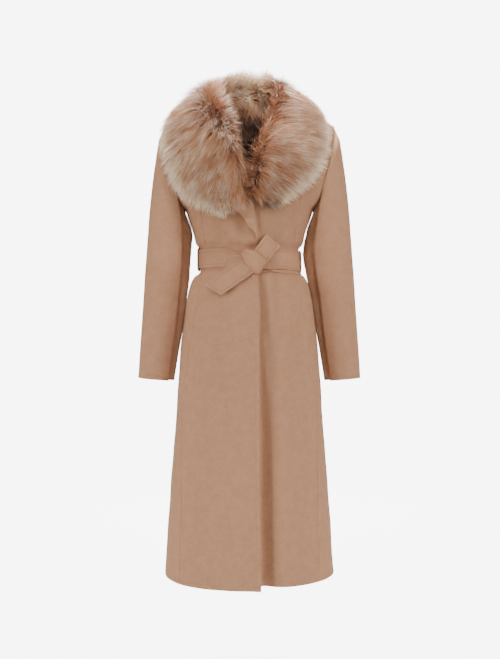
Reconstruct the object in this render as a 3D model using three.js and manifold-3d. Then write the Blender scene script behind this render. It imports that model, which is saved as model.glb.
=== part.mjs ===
// A belted long coat of double-faced wool with a wide fur shawl collar.
// It keeps the hollow form of a worn coat. Millimetres, +Z up, the front faces -Y.
// The origin lies between the shoulders, level with the sides of the neck.
import * as THREE from "three";
import { mergeVertices } from "three/addons/utils/BufferGeometryUtils.js";
import Module from "manifold-3d";

const wasm = await Module();
wasm.setup();

// Driving dimensions.
const CLOTH = 2; // double-faced wool
const SEAM_GAP = 0.3;
const BELT_WIDTH = 46;
const BELT_THICKNESS = 3;
const BELT_HEIGHT = -379; // middle of the belt, below the neck
const BELT_TILT = 4; // the belt hangs this much lower on the wearer's left
const HEM = -1141;
const HEM_RISE = 7; // the hem rises this much from the front to the sides
const HEM_RANGE = 200; // over the lowest stretch of the skirt
const LEFT_DROP = -6; // the left front is this much shorter
const ARMPIT = -255;
const SHOULDER_POINT = { x: 208, z: -47 };
const ARMPIT_POINT = { x: 157, z: ARMPIT };
const OVERLAP_LIFT = 4.1; // the right front lies this far outside the left one

// Level rings of the body: half width, depth to the front and back, and how square the ring is.
const BODY = [
  { z: -1160, halfWidth: 207, front: 181, back: 180, square: 2.8 },
  { z: -1060, halfWidth: 201, front: 176, back: 175, square: 2.75 },
  { z: -900, halfWidth: 190, front: 167, back: 166, square: 2.65 },
  { z: -740, halfWidth: 178, front: 157, back: 156, square: 2.55 },
  { z: -600, halfWidth: 169, front: 146, back: 148, square: 2.45 },
  { z: -520, halfWidth: 160, front: 136, back: 139, square: 2.4 },
  { z: -450, halfWidth: 149, front: 124, back: 124, square: 2.35 },
  { z: -419, halfWidth: 136.5, front: 110, back: 106, square: 2.3 },
  { z: -408, halfWidth: 121.5, front: 96.5, back: 92.5, square: 2.3 },
  { z: -398, halfWidth: 121, front: 96, back: 92, square: 2.3 },
  { z: -360, halfWidth: 121, front: 96, back: 92, square: 2.3 },
  { z: -349, halfWidth: 121.5, front: 96.5, back: 92.5, square: 2.3 },
  { z: -337, halfWidth: 131, front: 109.5, back: 98, square: 2.3 },
  { z: -310, halfWidth: 138, front: 118, back: 102, square: 2.3 },
  { z: -275, halfWidth: 150, front: 124, back: 106, square: 2.35 },
  { z: -255, halfWidth: 157, front: 125, back: 108, square: 2.4 },
  { z: -228, halfWidth: 181, front: 124, back: 109, square: 2.45 },
  { z: -190, halfWidth: 203, front: 119, back: 108, square: 2.5 },
  { z: -145, halfWidth: 213, front: 107, back: 104, square: 2.5 },
  { z: -100, halfWidth: 215, front: 92, back: 94, square: 2.4 },
  { z: -68, halfWidth: 213, front: 80, back: 84, square: 2.3 },
  { z: -47, halfWidth: 208, front: 72, back: 77, square: 2.2 },
  { z: -32, halfWidth: 168, front: 66, back: 72, square: 2.2 },
  { z: -17, halfWidth: 124, front: 61, back: 67, square: 2.2 },
  { z: 0, halfWidth: 76, front: 56, back: 62, square: 2.2 },
];

// Sleeve rings, wearer's left: the outer and inner ends of each ring, its depth and where it hangs.
const SLEEVE = [
  { outerX: 221.5, outerZ: -79, innerX: 157.4, innerZ: -262, depth: 74, middleY: 0 },
  { outerX: 230, outerZ: -124, innerX: 153.5, innerZ: -280, depth: 71, middleY: 0 },
  { outerX: 238, outerZ: -182, innerX: 147, innerZ: -300, depth: 65, middleY: 1 },
  { outerX: 245, outerZ: -242, innerX: 143, innerZ: -318, depth: 60, middleY: 3 },
  { outerX: 250, outerZ: -300, innerX: 142.5, innerZ: -338, depth: 57, middleY: 4 },
  { outerX: 254, outerZ: -360, innerX: 144.5, innerZ: -369, depth: 55, middleY: 4 },
  { outerX: 258, outerZ: -415, innerX: 149.5, innerZ: -416, depth: 54, middleY: 2 },
  { outerX: 261, outerZ: -475, innerX: 158, innerZ: -477, depth: 51, middleY: -3 },
  { outerX: 264.5, outerZ: -540, innerX: 167, innerZ: -543, depth: 49, middleY: -10 },
  { outerX: 268, outerZ: -605, innerX: 176.5, innerZ: -610, depth: 46, middleY: -18 },
  { outerX: 270.5, outerZ: -664, innerX: 183, innerZ: -671, depth: 44, middleY: -27 },
];
const SLEEVE_SQUARE = 2.2;
// The wearer's left sleeve hangs nearer the waist on its inner side, by this much at each ring.
const LEFT_PULL = [0, 0, 1, 4, 8, 12, 8.5, 3, 1, 0, 0];
// Sleeve seams, in degrees round the ring from its outer end through the front.
const SLEEVE_SEAMS = { frontTop: 122, frontCuff: 136, backTop: 236, backCuff: 228 };

// Front edges and the lines along which the fronts roll open, across the body at each height.
const RIGHT_EDGE = [
  { z: -1160, x: 26 },
  { z: -900, x: 23 },
  { z: -560, x: 21 },
  { z: -379, x: 19 },
  { z: -330, x: 20 },
  { z: -275, x: 13 },
  { z: -200, x: -2 },
  { z: -130, x: -18 },
  { z: -60, x: -42 },
  { z: 0, x: -66 },
];
const LEFT_EDGE = [
  { z: -1160, x: -34 },
  { z: -560, x: -34 },
  { z: -379, x: -32 },
  { z: -300, x: -22 },
  { z: -200, x: 8 },
  { z: -130, x: 24 },
  { z: -60, x: 44 },
  { z: 0, x: 66 },
];
// The seam between front and side front, from hem to shoulder, out from the middle.
const PRINCESS = [
  { z: -1160, x: 163 },
  { z: -960, x: 159 },
  { z: -840, x: 160 },
  { z: -720, x: 158 },
  { z: -600, x: 143 },
  { z: -500, x: 127 },
  { z: -448, x: 119 },
  { z: -379, x: 103 },
  { z: -345, x: 106 },
  { z: -270, x: 116 },
  { z: -200, x: 124 },
  { z: -120, x: 132 },
  { z: -60, x: 138 },
  { z: -47, x: 138 },
  { z: -17, x: 100 },
  { z: 0, x: 71 },
];
// Soft folds: where each starts and ends on the front, half its width, its height out of the cloth,
// and how far it fades past each end.
const FOLDS = [
  { x0: 44, z0: -560, x1: 54, z1: -1180, half: 20, rise: -8, fade0: 130, fade1: 60 },
  { x0: 27, z0: -420, x1: 31, z1: -520, half: 11, rise: -5, fade0: 4.5, fade1: 50 },
  { x0: 44, z0: -420, x1: 50, z1: -500, half: 11, rise: 4, fade0: 4.5, fade1: 60 },
  { x0: 63, z0: -420, x1: 66, z1: -460, half: 9, rise: -6, fade0: 4.5, fade1: 35 },
  { x0: 84, z0: -420, x1: 92, z1: -480, half: 11, rise: 4, fade0: 4.5, fade1: 50 },
  { x0: -66, z0: -337, x1: -68, z1: -316, half: 11, rise: -5, fade0: 4.5, fade1: 20 },
  { x0: -44, z0: -337, x1: -42, z1: -300, half: 13, rise: 5, fade0: 4.5, fade1: 28 },
  { x0: -12, z0: -337, x1: -12, z1: -310, half: 13, rise: -6, fade0: 4.5, fade1: 24 },
  { x0: 64, z0: -337, x1: 66, z1: -312, half: 12, rise: -4, fade0: 4.5, fade1: 26 },
  { x0: -124, z0: -420, x1: -134, z1: -480, half: 8, rise: -3, fade0: 4.5, fade1: 40 },
];
// Folds of the back, fanned out above and below the belt.
const BACK_FOLDS = [-84, -50, -16, 18, 52, 86].flatMap((x, i) => [
  {
    x0: x,
    z0: -420,
    x1: x * 1.35,
    z1: -500 - 30 * (i % 3),
    half: 14,
    rise: i % 2 ? -5 : 4,
    fade0: 4.5,
    fade1: 60,
  },
  {
    x0: x * 0.96,
    z0: -337,
    x1: x * 1.05,
    z1: -300 + 8 * (i % 2),
    half: 13,
    rise: i % 2 ? 4 : -4,
    fade0: 4.5,
    fade1: 30,
  },
]);

// Fur collar, wearer's left half: the inner and outer ends of each section and its thickness.
const COLLAR = [
  { ix: 0, iy: 46, iz: 83, ox: 0, oy: 124, oz: -98, top: 46, under: 16 },
  { ix: 32, iy: 39, iz: 85, ox: 60, oy: 118, oz: -94, top: 47, under: 16 },
  { ix: 54, iy: 17, iz: 78, ox: 136, oy: 78, oz: -68, top: 50, under: 20 },
  { ix: 57, iy: -18, iz: 60, ox: 184, oy: 10, oz: -60, top: 50, under: 26 },
  { ix: 49, iy: -50, iz: 8, ox: 191, oy: -46, oz: -94, top: 45, under: 28 },
  { ix: 35, iy: -80, iz: -48, ox: 186, oy: -76, oz: -146, top: 42, under: 28 },
  { ix: 15, iy: -114, iz: -108, ox: 162, oy: -100, oz: -198, top: 40, under: 26 },
  { ix: 4, iy: -132, iz: -164, ox: 122, oy: -122, oz: -230, top: 34, under: 20 },
  { ix: 2, iy: -138, iz: -212, ox: 74, oy: -133, oz: -252, top: 26, under: 16 },
  { ix: 2, iy: -139, iz: -246, ox: 26, oy: -138, oz: -266, top: 14, under: 10 },
];
// The right half ends lower and further across, and lies wider over the shoulder.
const COLLAR_RIGHT = [
  { ix: 0, iy: 46, iz: 83, ox: 0, oy: 124, oz: -98, top: 46, under: 16 },
  { ix: 32, iy: 39, iz: 85, ox: 60, oy: 118, oz: -94, top: 47, under: 16 },
  { ix: 59, iy: 17, iz: 76, ox: 142, oy: 78, oz: -70, top: 50, under: 20 },
  { ix: 66, iy: -18, iz: 56, ox: 198, oy: 10, oz: -64, top: 50, under: 26 },
  { ix: 56, iy: -50, iz: 4, ox: 216, oy: -44, oz: -96, top: 46, under: 28 },
  { ix: 37, iy: -80, iz: -50, ox: 214, oy: -72, oz: -146, top: 44, under: 28 },
  { ix: 18, iy: -114, iz: -110, ox: 196, oy: -96, oz: -202, top: 42, under: 26 },
  { ix: 4, iy: -133, iz: -168, ox: 160, oy: -116, oz: -246, top: 36, under: 22 },
  { ix: 2, iy: -140, iz: -220, ox: 106, oy: -131, oz: -272, top: 28, under: 16 },
  { ix: 2, iy: -140, iz: -256, ox: 42, oy: -141, oz: -282, top: 15, under: 10 },
];

// Smooth curve through a table's rows, by one of its columns.
function column(rows, key, at, by = "z") {
  const value = (row) => row[key];
  const place = (row) => row[by];
  const last = rows.length - 1;
  const rising = place(rows[last]) > place(rows[0]);
  let i = 0;
  while (i < last - 1 && (rising ? at > place(rows[i + 1]) : at < place(rows[i + 1]))) i++;
  const span = place(rows[i + 1]) - place(rows[i]);
  const t = THREE.MathUtils.clamp((at - place(rows[i])) / span, 0, 1);
  const slope = (j) => {
    const a = rows[Math.max(0, j - 1)];
    const b = rows[Math.min(last, j + 1)];
    return (value(b) - value(a)) / (place(b) - place(a));
  };
  const t2 = t * t;
  const t3 = t2 * t;
  return (
    value(rows[i]) * (2 * t3 - 3 * t2 + 1) +
    value(rows[i + 1]) * (3 * t2 - 2 * t3) +
    span * (slope(i) * (t3 - 2 * t2 + t) + slope(i + 1) * (t3 - t2))
  );
}

const smooth = (t) => THREE.MathUtils.smoothstep(t, 0, 1);

// The body's ring at a height.
function ringAt(z) {
  return {
    halfWidth: column(BODY, "halfWidth", z),
    front: column(BODY, "front", z),
    back: column(BODY, "back", z),
    square: column(BODY, "square", z),
  };
}

// How far forward (or back) the ring is at a place across the body.
function depthAt(x, z, side) {
  const ring = ringAt(z);
  const share = Math.min(1, Math.abs(x) / ring.halfWidth);
  return ring[side] * Math.pow(1 - Math.pow(share, ring.square), 1 / ring.square);
}

// The angle round the body, from the middle of the front, of a place across the front or back.
function angleAt(x, z, side = "front") {
  const depth = depthAt(x, z, side);
  return side === "front" ? Math.atan2(x, depth) : Math.atan2(x, -depth);
}

// How far the folds move the cloth out at a place.
function foldsAt(x, z, folds) {
  let rise = 0;
  for (const fold of folds) {
    const length = Math.abs(fold.z0 - fold.z1);
    const along = (fold.z0 - z) / (fold.z0 - fold.z1);
    const before = (Math.max(0, -along) * length) / fold.fade0;
    const past = Math.max(before, (Math.max(0, along - 1) * length) / fold.fade1);
    const middle = fold.x0 + (fold.x1 - fold.x0) * along;
    const across = (x - middle) / fold.half;
    rise += fold.rise * Math.exp(-across * across - past * past);
  }
  return rise;
}

// A point of the body's form, at an angle and a height.
function formPoint(angle, z) {
  const ring = ringAt(z);
  const depth = Math.cos(angle) > 0 ? ring.front : ring.back;
  const radius = Math.pow(
    Math.pow(Math.abs(Math.sin(angle)) / ring.halfWidth, ring.square) +
      Math.pow(Math.abs(Math.cos(angle)) / depth, ring.square),
    -1 / ring.square,
  );
  const x = radius * Math.sin(angle);
  const folded = radius + foldsAt(x, z, Math.cos(angle) > 0 ? FOLDS : BACK_FOLDS);
  return new THREE.Vector3(folded * Math.sin(angle), -folded * Math.cos(angle), z);
}

// The same point moved out along the form's normal.
function liftedPoint(angle, z, lift) {
  const turn = 0.01;
  const rise = 1.5;
  const top = BODY[BODY.length - 1].z;
  const along = formPoint(angle + turn, z).sub(formPoint(angle - turn, z));
  const up = formPoint(angle, Math.min(z + rise, top)).sub(formPoint(angle, z - rise));
  const normal = along.cross(up).normalize();
  return formPoint(angle, z).addScaledVector(normal, lift);
}

// A closed wall between two grids of points with the same rows and columns.
function wallBetween(outer, inner) {
  const rows = outer.length;
  const cols = outer[0].length;
  const positions = [];
  for (const grid of [outer, inner])
    for (const row of grid) for (const p of row) positions.push(p.x, p.y, p.z);
  const at = (layer, i, j) => layer * rows * cols + i * cols + j;
  const faces = [];
  const quad = (a, b, c, d) => faces.push(a, b, c, a, c, d);
  for (let i = 0; i + 1 < rows; i++)
    for (let j = 0; j + 1 < cols; j++) {
      quad(at(0, i, j), at(0, i, j + 1), at(0, i + 1, j + 1), at(0, i + 1, j));
      quad(at(1, i, j), at(1, i + 1, j), at(1, i + 1, j + 1), at(1, i, j + 1));
    }
  for (let j = 0; j + 1 < cols; j++) {
    quad(at(0, 0, j + 1), at(0, 0, j), at(1, 0, j), at(1, 0, j + 1));
    quad(at(0, rows - 1, j), at(0, rows - 1, j + 1), at(1, rows - 1, j + 1), at(1, rows - 1, j));
  }
  for (let i = 0; i + 1 < rows; i++) {
    quad(at(0, i, 0), at(0, i + 1, 0), at(1, i + 1, 0), at(1, i, 0));
    quad(at(0, i + 1, cols - 1), at(0, i, cols - 1), at(1, i, cols - 1), at(1, i + 1, cols - 1));
  }
  return geometryOf(positions, faces);
}

// A closed mesh whose faces are turned to look out.
function geometryOf(positions, faces) {
  const corner = (i) => new THREE.Vector3().fromArray(positions, 3 * i);
  let volume = 0;
  for (let i = 0; i < faces.length; i += 3)
    volume += corner(faces[i]).dot(corner(faces[i + 1]).cross(corner(faces[i + 2])));
  const turned = volume > 0 ? faces : [...faces].reverse();
  const geometry = new THREE.BufferGeometry();
  geometry.setAttribute("position", new THREE.Float32BufferAttribute(positions, 3));
  geometry.setIndex(turned);
  return geometry;
}

// A closed body skinned over rings of points, with both ends capped.
function skinOver(rings) {
  const count = rings[0].length;
  const positions = rings.flat().flatMap((p) => [p.x, p.y, p.z]);
  const faces = [];
  for (let i = 0; i + 1 < rings.length; i++)
    for (let j = 0; j < count; j++) {
      const k = (j + 1) % count;
      faces.push(i * count + j, i * count + k, (i + 1) * count + k);
      faces.push(i * count + j, (i + 1) * count + k, (i + 1) * count + j);
    }
  for (const [ring, flip] of [[0, true], [rings.length - 1, false]]) {
    const middle = new THREE.Vector3();
    rings[ring].forEach((p) => middle.addScaledVector(p, 1 / count));
    const hub = positions.length / 3;
    positions.push(middle.x, middle.y, middle.z);
    for (let j = 0; j < count; j++) {
      const a = ring * count + j;
      const b = ring * count + ((j + 1) % count);
      faces.push(...(flip ? [hub, b, a] : [hub, a, b]));
    }
  }
  return geometryOf(positions, faces);
}

// The armhole lies in a slanted plane from the shoulder point to the armpit.
function armholeX(z) {
  const share = (z - ARMPIT_POINT.z) / (SHOULDER_POINT.z - ARMPIT_POINT.z);
  return ARMPIT_POINT.x + share * (SHOULDER_POINT.x - ARMPIT_POINT.x);
}

// Where a panel stops at the side: the side seam, then the armhole, then the shoulder seam.
function sideAngle(z, side) {
  if (z <= ARMPIT_POINT.z || z >= SHOULDER_POINT.z) return Math.PI / 2;
  return angleAt(armholeX(z), z, side);
}

// A height, moved up near the hem at the sides and by the drop of its panel.
function hemmed(z, angle, drop) {
  const near = smooth(1 - (z - HEM) / HEM_RANGE);
  return z + near * (HEM_RISE * Math.pow(Math.sin(angle), 2) - drop);
}

// Heights of the rows of points, closer together at the belt and over the shoulder.
const LOW_ROWS = [-1141, -1095, -1020, -940, -860, -780, -700, -630, -570, -515, -470, -440, -419, -408];
const WAIST_ROWS = [-379, -349, -337, -318, -295, -272];
const TOP_ROWS = [-255, -236, -212, -180, -145, -108, -78, -60, -47, -34, -18, -4];
const ROWS = [...LOW_ROWS, ...WAIST_ROWS, ...TOP_ROWS];

// The angle that a seam gap takes at a height.
const gapAngle = (z) => SEAM_GAP / 2 / ringAt(z).front;

// The angles of a panel's columns at a height, from one of its lines to the other.
function columnAngles({ from, to, columns }, row) {
  const start = from(row) + gapAngle(row);
  const end = to(row) - gapAngle(row);
  return Array.from({ length: columns + 1 }, (_, j) => start + ((end - start) * j) / columns);
}

// A panel of the body between two lines, as a wall of cloth.
const flat = () => 0;
function panel({ from, to, columns, lift = flat, drop = 0 }) {
  const layer = (extra) =>
    ROWS.map((row) =>
      columnAngles({ from, to, columns }, row).map((angle) => {
        const x = formPoint(angle, row).x;
        return liftedPoint(angle, hemmed(row, angle, drop), lift(x) + extra);
      }),
    );
  return wallBetween(layer(0), layer(-CLOTH));
}

// Lines round the body that the panels are cut to, as angles.
const rightEdge = (z) => angleAt(column(RIGHT_EDGE, "x", z), z);
const leftEdge = (z) => angleAt(column(LEFT_EDGE, "x", z), z);
const princess = (z) => {
  const shoulderShare = 0.98;
  const widest = shoulderShare * ringAt(z).halfWidth * (z > SHOULDER_POINT.z ? 0.94 : 1);
  const line = Math.min(column(PRINCESS, "x", z), widest);
  return Math.min(angleAt(line, z), sideAngle(z, "front") - 0.02);
};
const frontSide = (z) => sideAngle(z, "front");
const backSide = (z) => sideAngle(z, "back");

// The right front rises over the left one where they overlap.
function overlapLift(x) {
  const start = -78;
  const full = -38;
  return OVERLAP_LIFT * smooth((x - start) / (full - start));
}

// The sleeve's first ring is the armhole itself, just clear of the body.
function armholeRing(turns, lift) {
  const middleZ = (SHOULDER_POINT.z + ARMPIT_POINT.z) / 2;
  const height = (SHOULDER_POINT.z - ARMPIT_POINT.z) / 2;
  return turns.map((turn) => {
    const z = middleZ + height * Math.cos(turn);
    const front = Math.sin(turn) > 0;
    const depth = depthAt(armholeX(z), z, front ? "front" : "back");
    const y = (front ? -1 : 1) * depth;
    return new THREE.Vector3(armholeX(z), y, z).add(sleeveLift(turn, z, lift));
  });
}

// At the armhole the cloth's thickness is laid along the plane of the armhole.
function sleeveLift(turn, z, lift) {
  const tilt = Math.atan2(SHOULDER_POINT.x - ARMPIT_POINT.x, SHOULDER_POINT.z - ARMPIT_POINT.z);
  const clear = SEAM_GAP + 0.2;
  return new THREE.Vector3(
    clear + lift * Math.cos(turn) * Math.sin(tilt),
    -lift * Math.sin(turn),
    lift * Math.cos(turn) * Math.cos(tilt),
  );
}

// The sleeve's rings by their place down the arm, and the places of its rows of points.
const SLEEVE_PLACES = SLEEVE.map((row, i) => ({ ...row, place: i, leftPull: LEFT_PULL[i] }));
const SLEEVE_ROWS = [0, 0.5, 1, 2, 3, 4, 4.6, 5.2, 5.8, 6.5, 7.2, 8, 9, 9.5, 10];

// A ring of the sleeve, at a place down the arm, drawn in by the cloth's thickness.
function sleeveRing(turns, place, lift, side) {
  const get = (key) => column(SLEEVE_PLACES, key, place, "place");
  const outer = new THREE.Vector3(get("outerX"), get("middleY"), get("outerZ"));
  const innerX = get("innerX") - (side > 0 ? get("leftPull") : 0);
  const inner = new THREE.Vector3(innerX, get("middleY"), get("innerZ"));
  const middle = outer.clone().add(inner).multiplyScalar(0.5);
  const half = outer.clone().sub(inner).multiplyScalar(0.5);
  const across = half.clone().normalize();
  const reach = half.length() + lift;
  const depth = get("depth") + lift;
  return turns.map((turn) => {
    const c = Math.cos(turn);
    const s = Math.sin(turn);
    const radius = Math.pow(
      Math.pow(Math.abs(c) / reach, SLEEVE_SQUARE) + Math.pow(Math.abs(s) / depth, SLEEVE_SQUARE),
      -1 / SLEEVE_SQUARE,
    );
    return middle
      .clone()
      .addScaledVector(across, radius * c)
      .add(new THREE.Vector3(0, -radius * s, 0));
  });
}

// The sleeve's seams, as turns round it at a share of its length.
const radians = THREE.MathUtils.degToRad;
const frontSeam = (t) => radians(THREE.MathUtils.lerp(SLEEVE_SEAMS.frontTop, SLEEVE_SEAMS.frontCuff, t));
const backSeam = (t) => radians(THREE.MathUtils.lerp(SLEEVE_SEAMS.backTop, SLEEVE_SEAMS.backCuff, t));

// The turns of a sleeve piece's columns, from one seam to the other, at a share of its length.
function sleeveTurns({ from, to, columns }, share) {
  const gap = SEAM_GAP / 2 / SLEEVE[5].depth;
  const start = from(share) + gap;
  const end = to(share) - gap;
  return Array.from({ length: columns + 1 }, (_, j) => start + ((end - start) * j) / columns);
}

// A sleeve piece between two seams, as a wall of cloth.
function sleevePiece({ from, to, columns }, side) {
  const last = SLEEVE_ROWS[SLEEVE_ROWS.length - 1];
  const turnsAt = (place) => sleeveTurns({ from, to, columns }, place / last);
  const layer = (lift) => [
    armholeRing(turnsAt(0), lift),
    ...SLEEVE_ROWS.map((place) => sleeveRing(turnsAt(place), place, lift, side)),
  ];
  return mirrored(wallBetween(layer(0), layer(-CLOTH)), side);
}

// A strip of cloth along a line of places, each with its across direction and width.
function strip(places, thickness, steps) {
  const path = new THREE.CatmullRomCurve3(places.map((p) => new THREE.Vector3(...p.at)));
  const across = new THREE.CatmullRomCurve3(places.map((p) => new THREE.Vector3(...p.across)));
  const widths = new THREE.CatmullRomCurve3(places.map((p) => new THREE.Vector3(p.width, 0, 0)));
  const layer = (side) =>
    Array.from({ length: steps + 1 }, (_, i) => {
      const t = i / steps;
      const middle = path.getPoint(t);
      const way = across.getPoint(t).normalize();
      const normal = path.getTangent(t).cross(way).normalize();
      const half = widths.getPoint(t).x / 2;
      return [-1, -0.34, 0.34, 1].map((s) =>
        middle
          .clone()
          .addScaledVector(way, s * half)
          .addScaledVector(normal, (side * thickness) / 2),
      );
    });
  return wallBetween(layer(1), layer(-1));
}

// The belt round the waist: an open band whose ends meet under the knot.
const KNOT = { x: 11, z: -388 };
const BELT_CLEAR = 0.9;
function beltLift(angle, x) {
  if (Math.cos(angle) < 0) return BELT_CLEAR;
  const past = column(RIGHT_EDGE, "x", BELT_HEIGHT) + 5;
  const settled = past + 40;
  return BELT_CLEAR + overlapLift(x) * (1 - smooth((x - past) / (settled - past)));
}
function beltBand() {
  const steps = 56;
  const opening = 0.03;
  const start = angleAt(KNOT.x, BELT_HEIGHT) + opening;
  const edgeLine = (edge, lift) =>
    Array.from({ length: steps + 1 }, (_, i) => {
      const angle = start + ((2 * Math.PI - 2 * opening) * i) / steps;
      const x = formPoint(angle, BELT_HEIGHT).x;
      const p = liftedPoint(angle, BELT_HEIGHT, beltLift(angle, x) + lift);
      const tilt = -BELT_TILT * Math.sin(angle);
      return new THREE.Vector3(p.x, p.y, BELT_HEIGHT + tilt + (edge * BELT_WIDTH) / 2);
    });
  const layer = (lift) => [-1, 1].map((edge) => edgeLine(edge, lift));
  return wallBetween(layer(BELT_THICKNESS), layer(0));
}

// The knot: a plump wrap of belt, drawn as its outline from the front at several depths.
const KNOT_OUTLINE = [
  { x: -19.8, z: -370 },
  { x: 0.9, z: -358 },
  { x: 18.9, z: -366 },
  { x: 42.7, z: -386 },
  { x: 32.2, z: -404 },
  { x: 23.3, z: -417 },
  { x: 8.4, z: -415 },
  { x: -7.9, z: -398 },
];
const KNOT_DEPTHS = [
  { y: -104.6, scale: 0.64 },
  { y: -109, scale: 0.84 },
  { y: -116.5, scale: 1 },
  { y: -125, scale: 0.9 },
  { y: -129, scale: 0.62 },
];
function knot(grow = 1) {
  const count = 20;
  const outline = new THREE.CatmullRomCurve3(
    KNOT_OUTLINE.map((p) => new THREE.Vector3(p.x - KNOT.x, 0, p.z - KNOT.z)),
    true,
  ).getPoints(count).slice(0, count);
  const rings = KNOT_DEPTHS.map(({ y, scale }) =>
    outline.map((p) => new THREE.Vector3(KNOT.x + p.x * scale * grow, y, KNOT.z + p.z * scale * grow)),
  );
  return skinOver(rings);
}
const CLEAR_OF_KNOT = 1.02;

// The loose stretches of the belt, from the knot outwards.
const BELT_TAIL = [
  { at: [4, -113, -393], across: [28, -2, -30], width: 41 },
  { at: [-22, -123, -411], across: [30, -9, -32], width: 45 },
  { at: [-54, -130, -433], across: [34, -11, -31], width: 47 },
  { at: [-85, -131, -455], across: [41, -13, -27], width: 49 },
];
const BELT_END = [
  { at: [22, -112, -381], across: [29, 0, -24], width: 40 },
  { at: [34, -114.5, -366], across: [31, 1, -27], width: 43 },
  { at: [56.5, -115, -337.3], across: [32, 2, -30], width: 44 },
];
const BELT_FOLD = [
  { at: [0, -106.5, -388], across: [6, 0, 38], width: 34 },
  { at: [-30, -104.6, -390], across: [8, 0, 37], width: 36 },
  { at: [-58, -99.6, -391], across: [9, 0, 37], width: 38 },
];
const clearOfKnot = (geometry) => solidFrom(geometry).subtract(solidFrom(knot(CLEAR_OF_KNOT)));

// A narrow loop of cloth that holds the belt at a side seam.
const LOOP_WIDTH = 10;
const LOOP = [
  { out: 129.3, z: -344 },
  { out: 128.8, z: -356 },
  { out: 128.8, z: -379 },
  { out: 129, z: -400 },
  { out: 131.1, z: -413.8 },
];
function beltLoop(side) {
  const places = LOOP.map((p) => ({ at: [side * p.out, 0, p.z], across: [0, side, 0], width: LOOP_WIDTH }));
  return strip(places, CLOTH, 8);
}

// The lapel: the right front's edge turned out and laid on the front, up to where the fur covers it.
const LAPEL = [
  { z: -322, x: 16.5 },
  { z: -309, x: 12 },
  { z: -292, x: 5 },
  { z: -277, x: -4 },
  { z: -262, x: -20 },
  { z: -250, x: -36 },
  { z: -225, x: -66 },
  { z: -190, x: -84 },
];
const LAPEL_CLEAR = 0.4;
const LAPEL_SPRING = 4; // the free edge stands this far off the front
const LAPEL_ROWS = [-322, -312, -302, -292, -282, -272, -262, -250, -236, -218, -200];
function lapel(grow = 0) {
  const columns = 4;
  const layer = (lift) =>
    LAPEL_ROWS.map((row, i) => {
      const end = i === 0 ? -grow : i === LAPEL_ROWS.length - 1 ? grow : 0;
      const z = row + end;
      const start = angleAt(column(LAPEL, "x", z) - grow, z);
      const roll = rightEdge(z) - gapAngle(z) + grow / ringAt(z).front;
      return Array.from({ length: columns + 1 }, (_, j) => {
        const share = j / columns;
        const angle = start + (roll - start) * share;
        const free = LAPEL_SPRING * (1 - share) * (1 - share);
        const x = formPoint(angle, z).x;
        return liftedPoint(angle, z, overlapLift(x) + LAPEL_CLEAR + free + lift);
      });
    });
  return wallBetween(layer(CLOTH + grow), layer(-grow));
}

// The body's panels and the pieces of a sleeve, as the lines they are cut between.
const rightSide = (line) => (z) => -line(z);
const PANELS = {
  front_right: { from: rightSide(princess), to: rightEdge, columns: 9, lift: overlapLift },
  front_left: { from: leftEdge, to: princess, columns: 9, drop: LEFT_DROP },
  side_front_left: { from: princess, to: frontSide, columns: 4 },
  back_left: { from: backSide, to: () => Math.PI, columns: 10 },
  back_right: { from: () => Math.PI, to: (z) => 2 * Math.PI - backSide(z), columns: 10 },
  side_front_right: { from: rightSide(frontSide), to: rightSide(princess), columns: 4 },
};
const SLEEVE_PIECES = {
  sleeve_top: { from: (t) => backSeam(t) - 2 * Math.PI, to: frontSeam, columns: 14 },
  sleeve_under: { from: frontSeam, to: backSeam, columns: 6 },
};

// The filled form of the body under the collar, a little outside its panels.
const FUR_CLEAR = 0.7;
function torsoForm() {
  const rows = ROWS.slice(ROWS.indexOf(-337));
  const ring = (row) => {
    const edge = rightEdge(row);
    return Object.values(PANELS).flatMap((piece) =>
      columnAngles(piece, row).map((angle, j) => {
        const clear = piece.drop ? Math.max(angle, edge + 0.004 * (j + 1)) : angle;
        const lift = piece.lift ? piece.lift(formPoint(angle, row).x) : 0;
        return liftedPoint(clear, row, lift + FUR_CLEAR);
      }),
    );
  };
  return skinOver(rows.map(ring));
}
// The filled form of the upper sleeve.
function sleeveForm(side) {
  const last = SLEEVE_ROWS[SLEEVE_ROWS.length - 1];
  const rows = SLEEVE_ROWS.filter((place) => place <= 4);
  const turnsAt = (place) =>
    Object.values(SLEEVE_PIECES).flatMap((piece) => sleeveTurns(piece, place / last));
  const rings = rows.map((place) => sleeveRing(turnsAt(place), place, FUR_CLEAR, side));
  return mirrored(skinOver([armholeRing(turnsAt(0), FUR_CLEAR), ...rings]), side);
}

// The collar halves meet down the back, and the right one crosses over at the front.
const COLLAR_SPLIT = [
  { z: 140, x: 0 },
  { z: -110, x: 0 },
  { z: -133, x: -2 },
  { z: -170, x: 6 },
  { z: -203, x: 14 },
  { z: -222, x: 18 },
  { z: -240, x: 15 },
  { z: -262, x: 8 },
  { z: -310, x: 6 },
];
const FAR = 400;
function beyondSplit(side) {
  const gap = side * 0.2;
  const outline = [
    ...COLLAR_SPLIT.map((p) => [p.x + gap, p.z]),
    [-side * FAR, COLLAR_SPLIT[COLLAR_SPLIT.length - 1].z],
    [-side * FAR, COLLAR_SPLIT[0].z],
  ];
  const shape = new THREE.Shape(outline.map(([x, z]) => new THREE.Vector2(x, z)));
  const prism = new THREE.ExtrudeGeometry(shape, { depth: 2 * FAR, bevelEnabled: false });
  prism.deleteAttribute("normal");
  prism.deleteAttribute("uv");
  return prism.translate(0, 0, -FAR).rotateX(Math.PI / 2);
}

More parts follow.
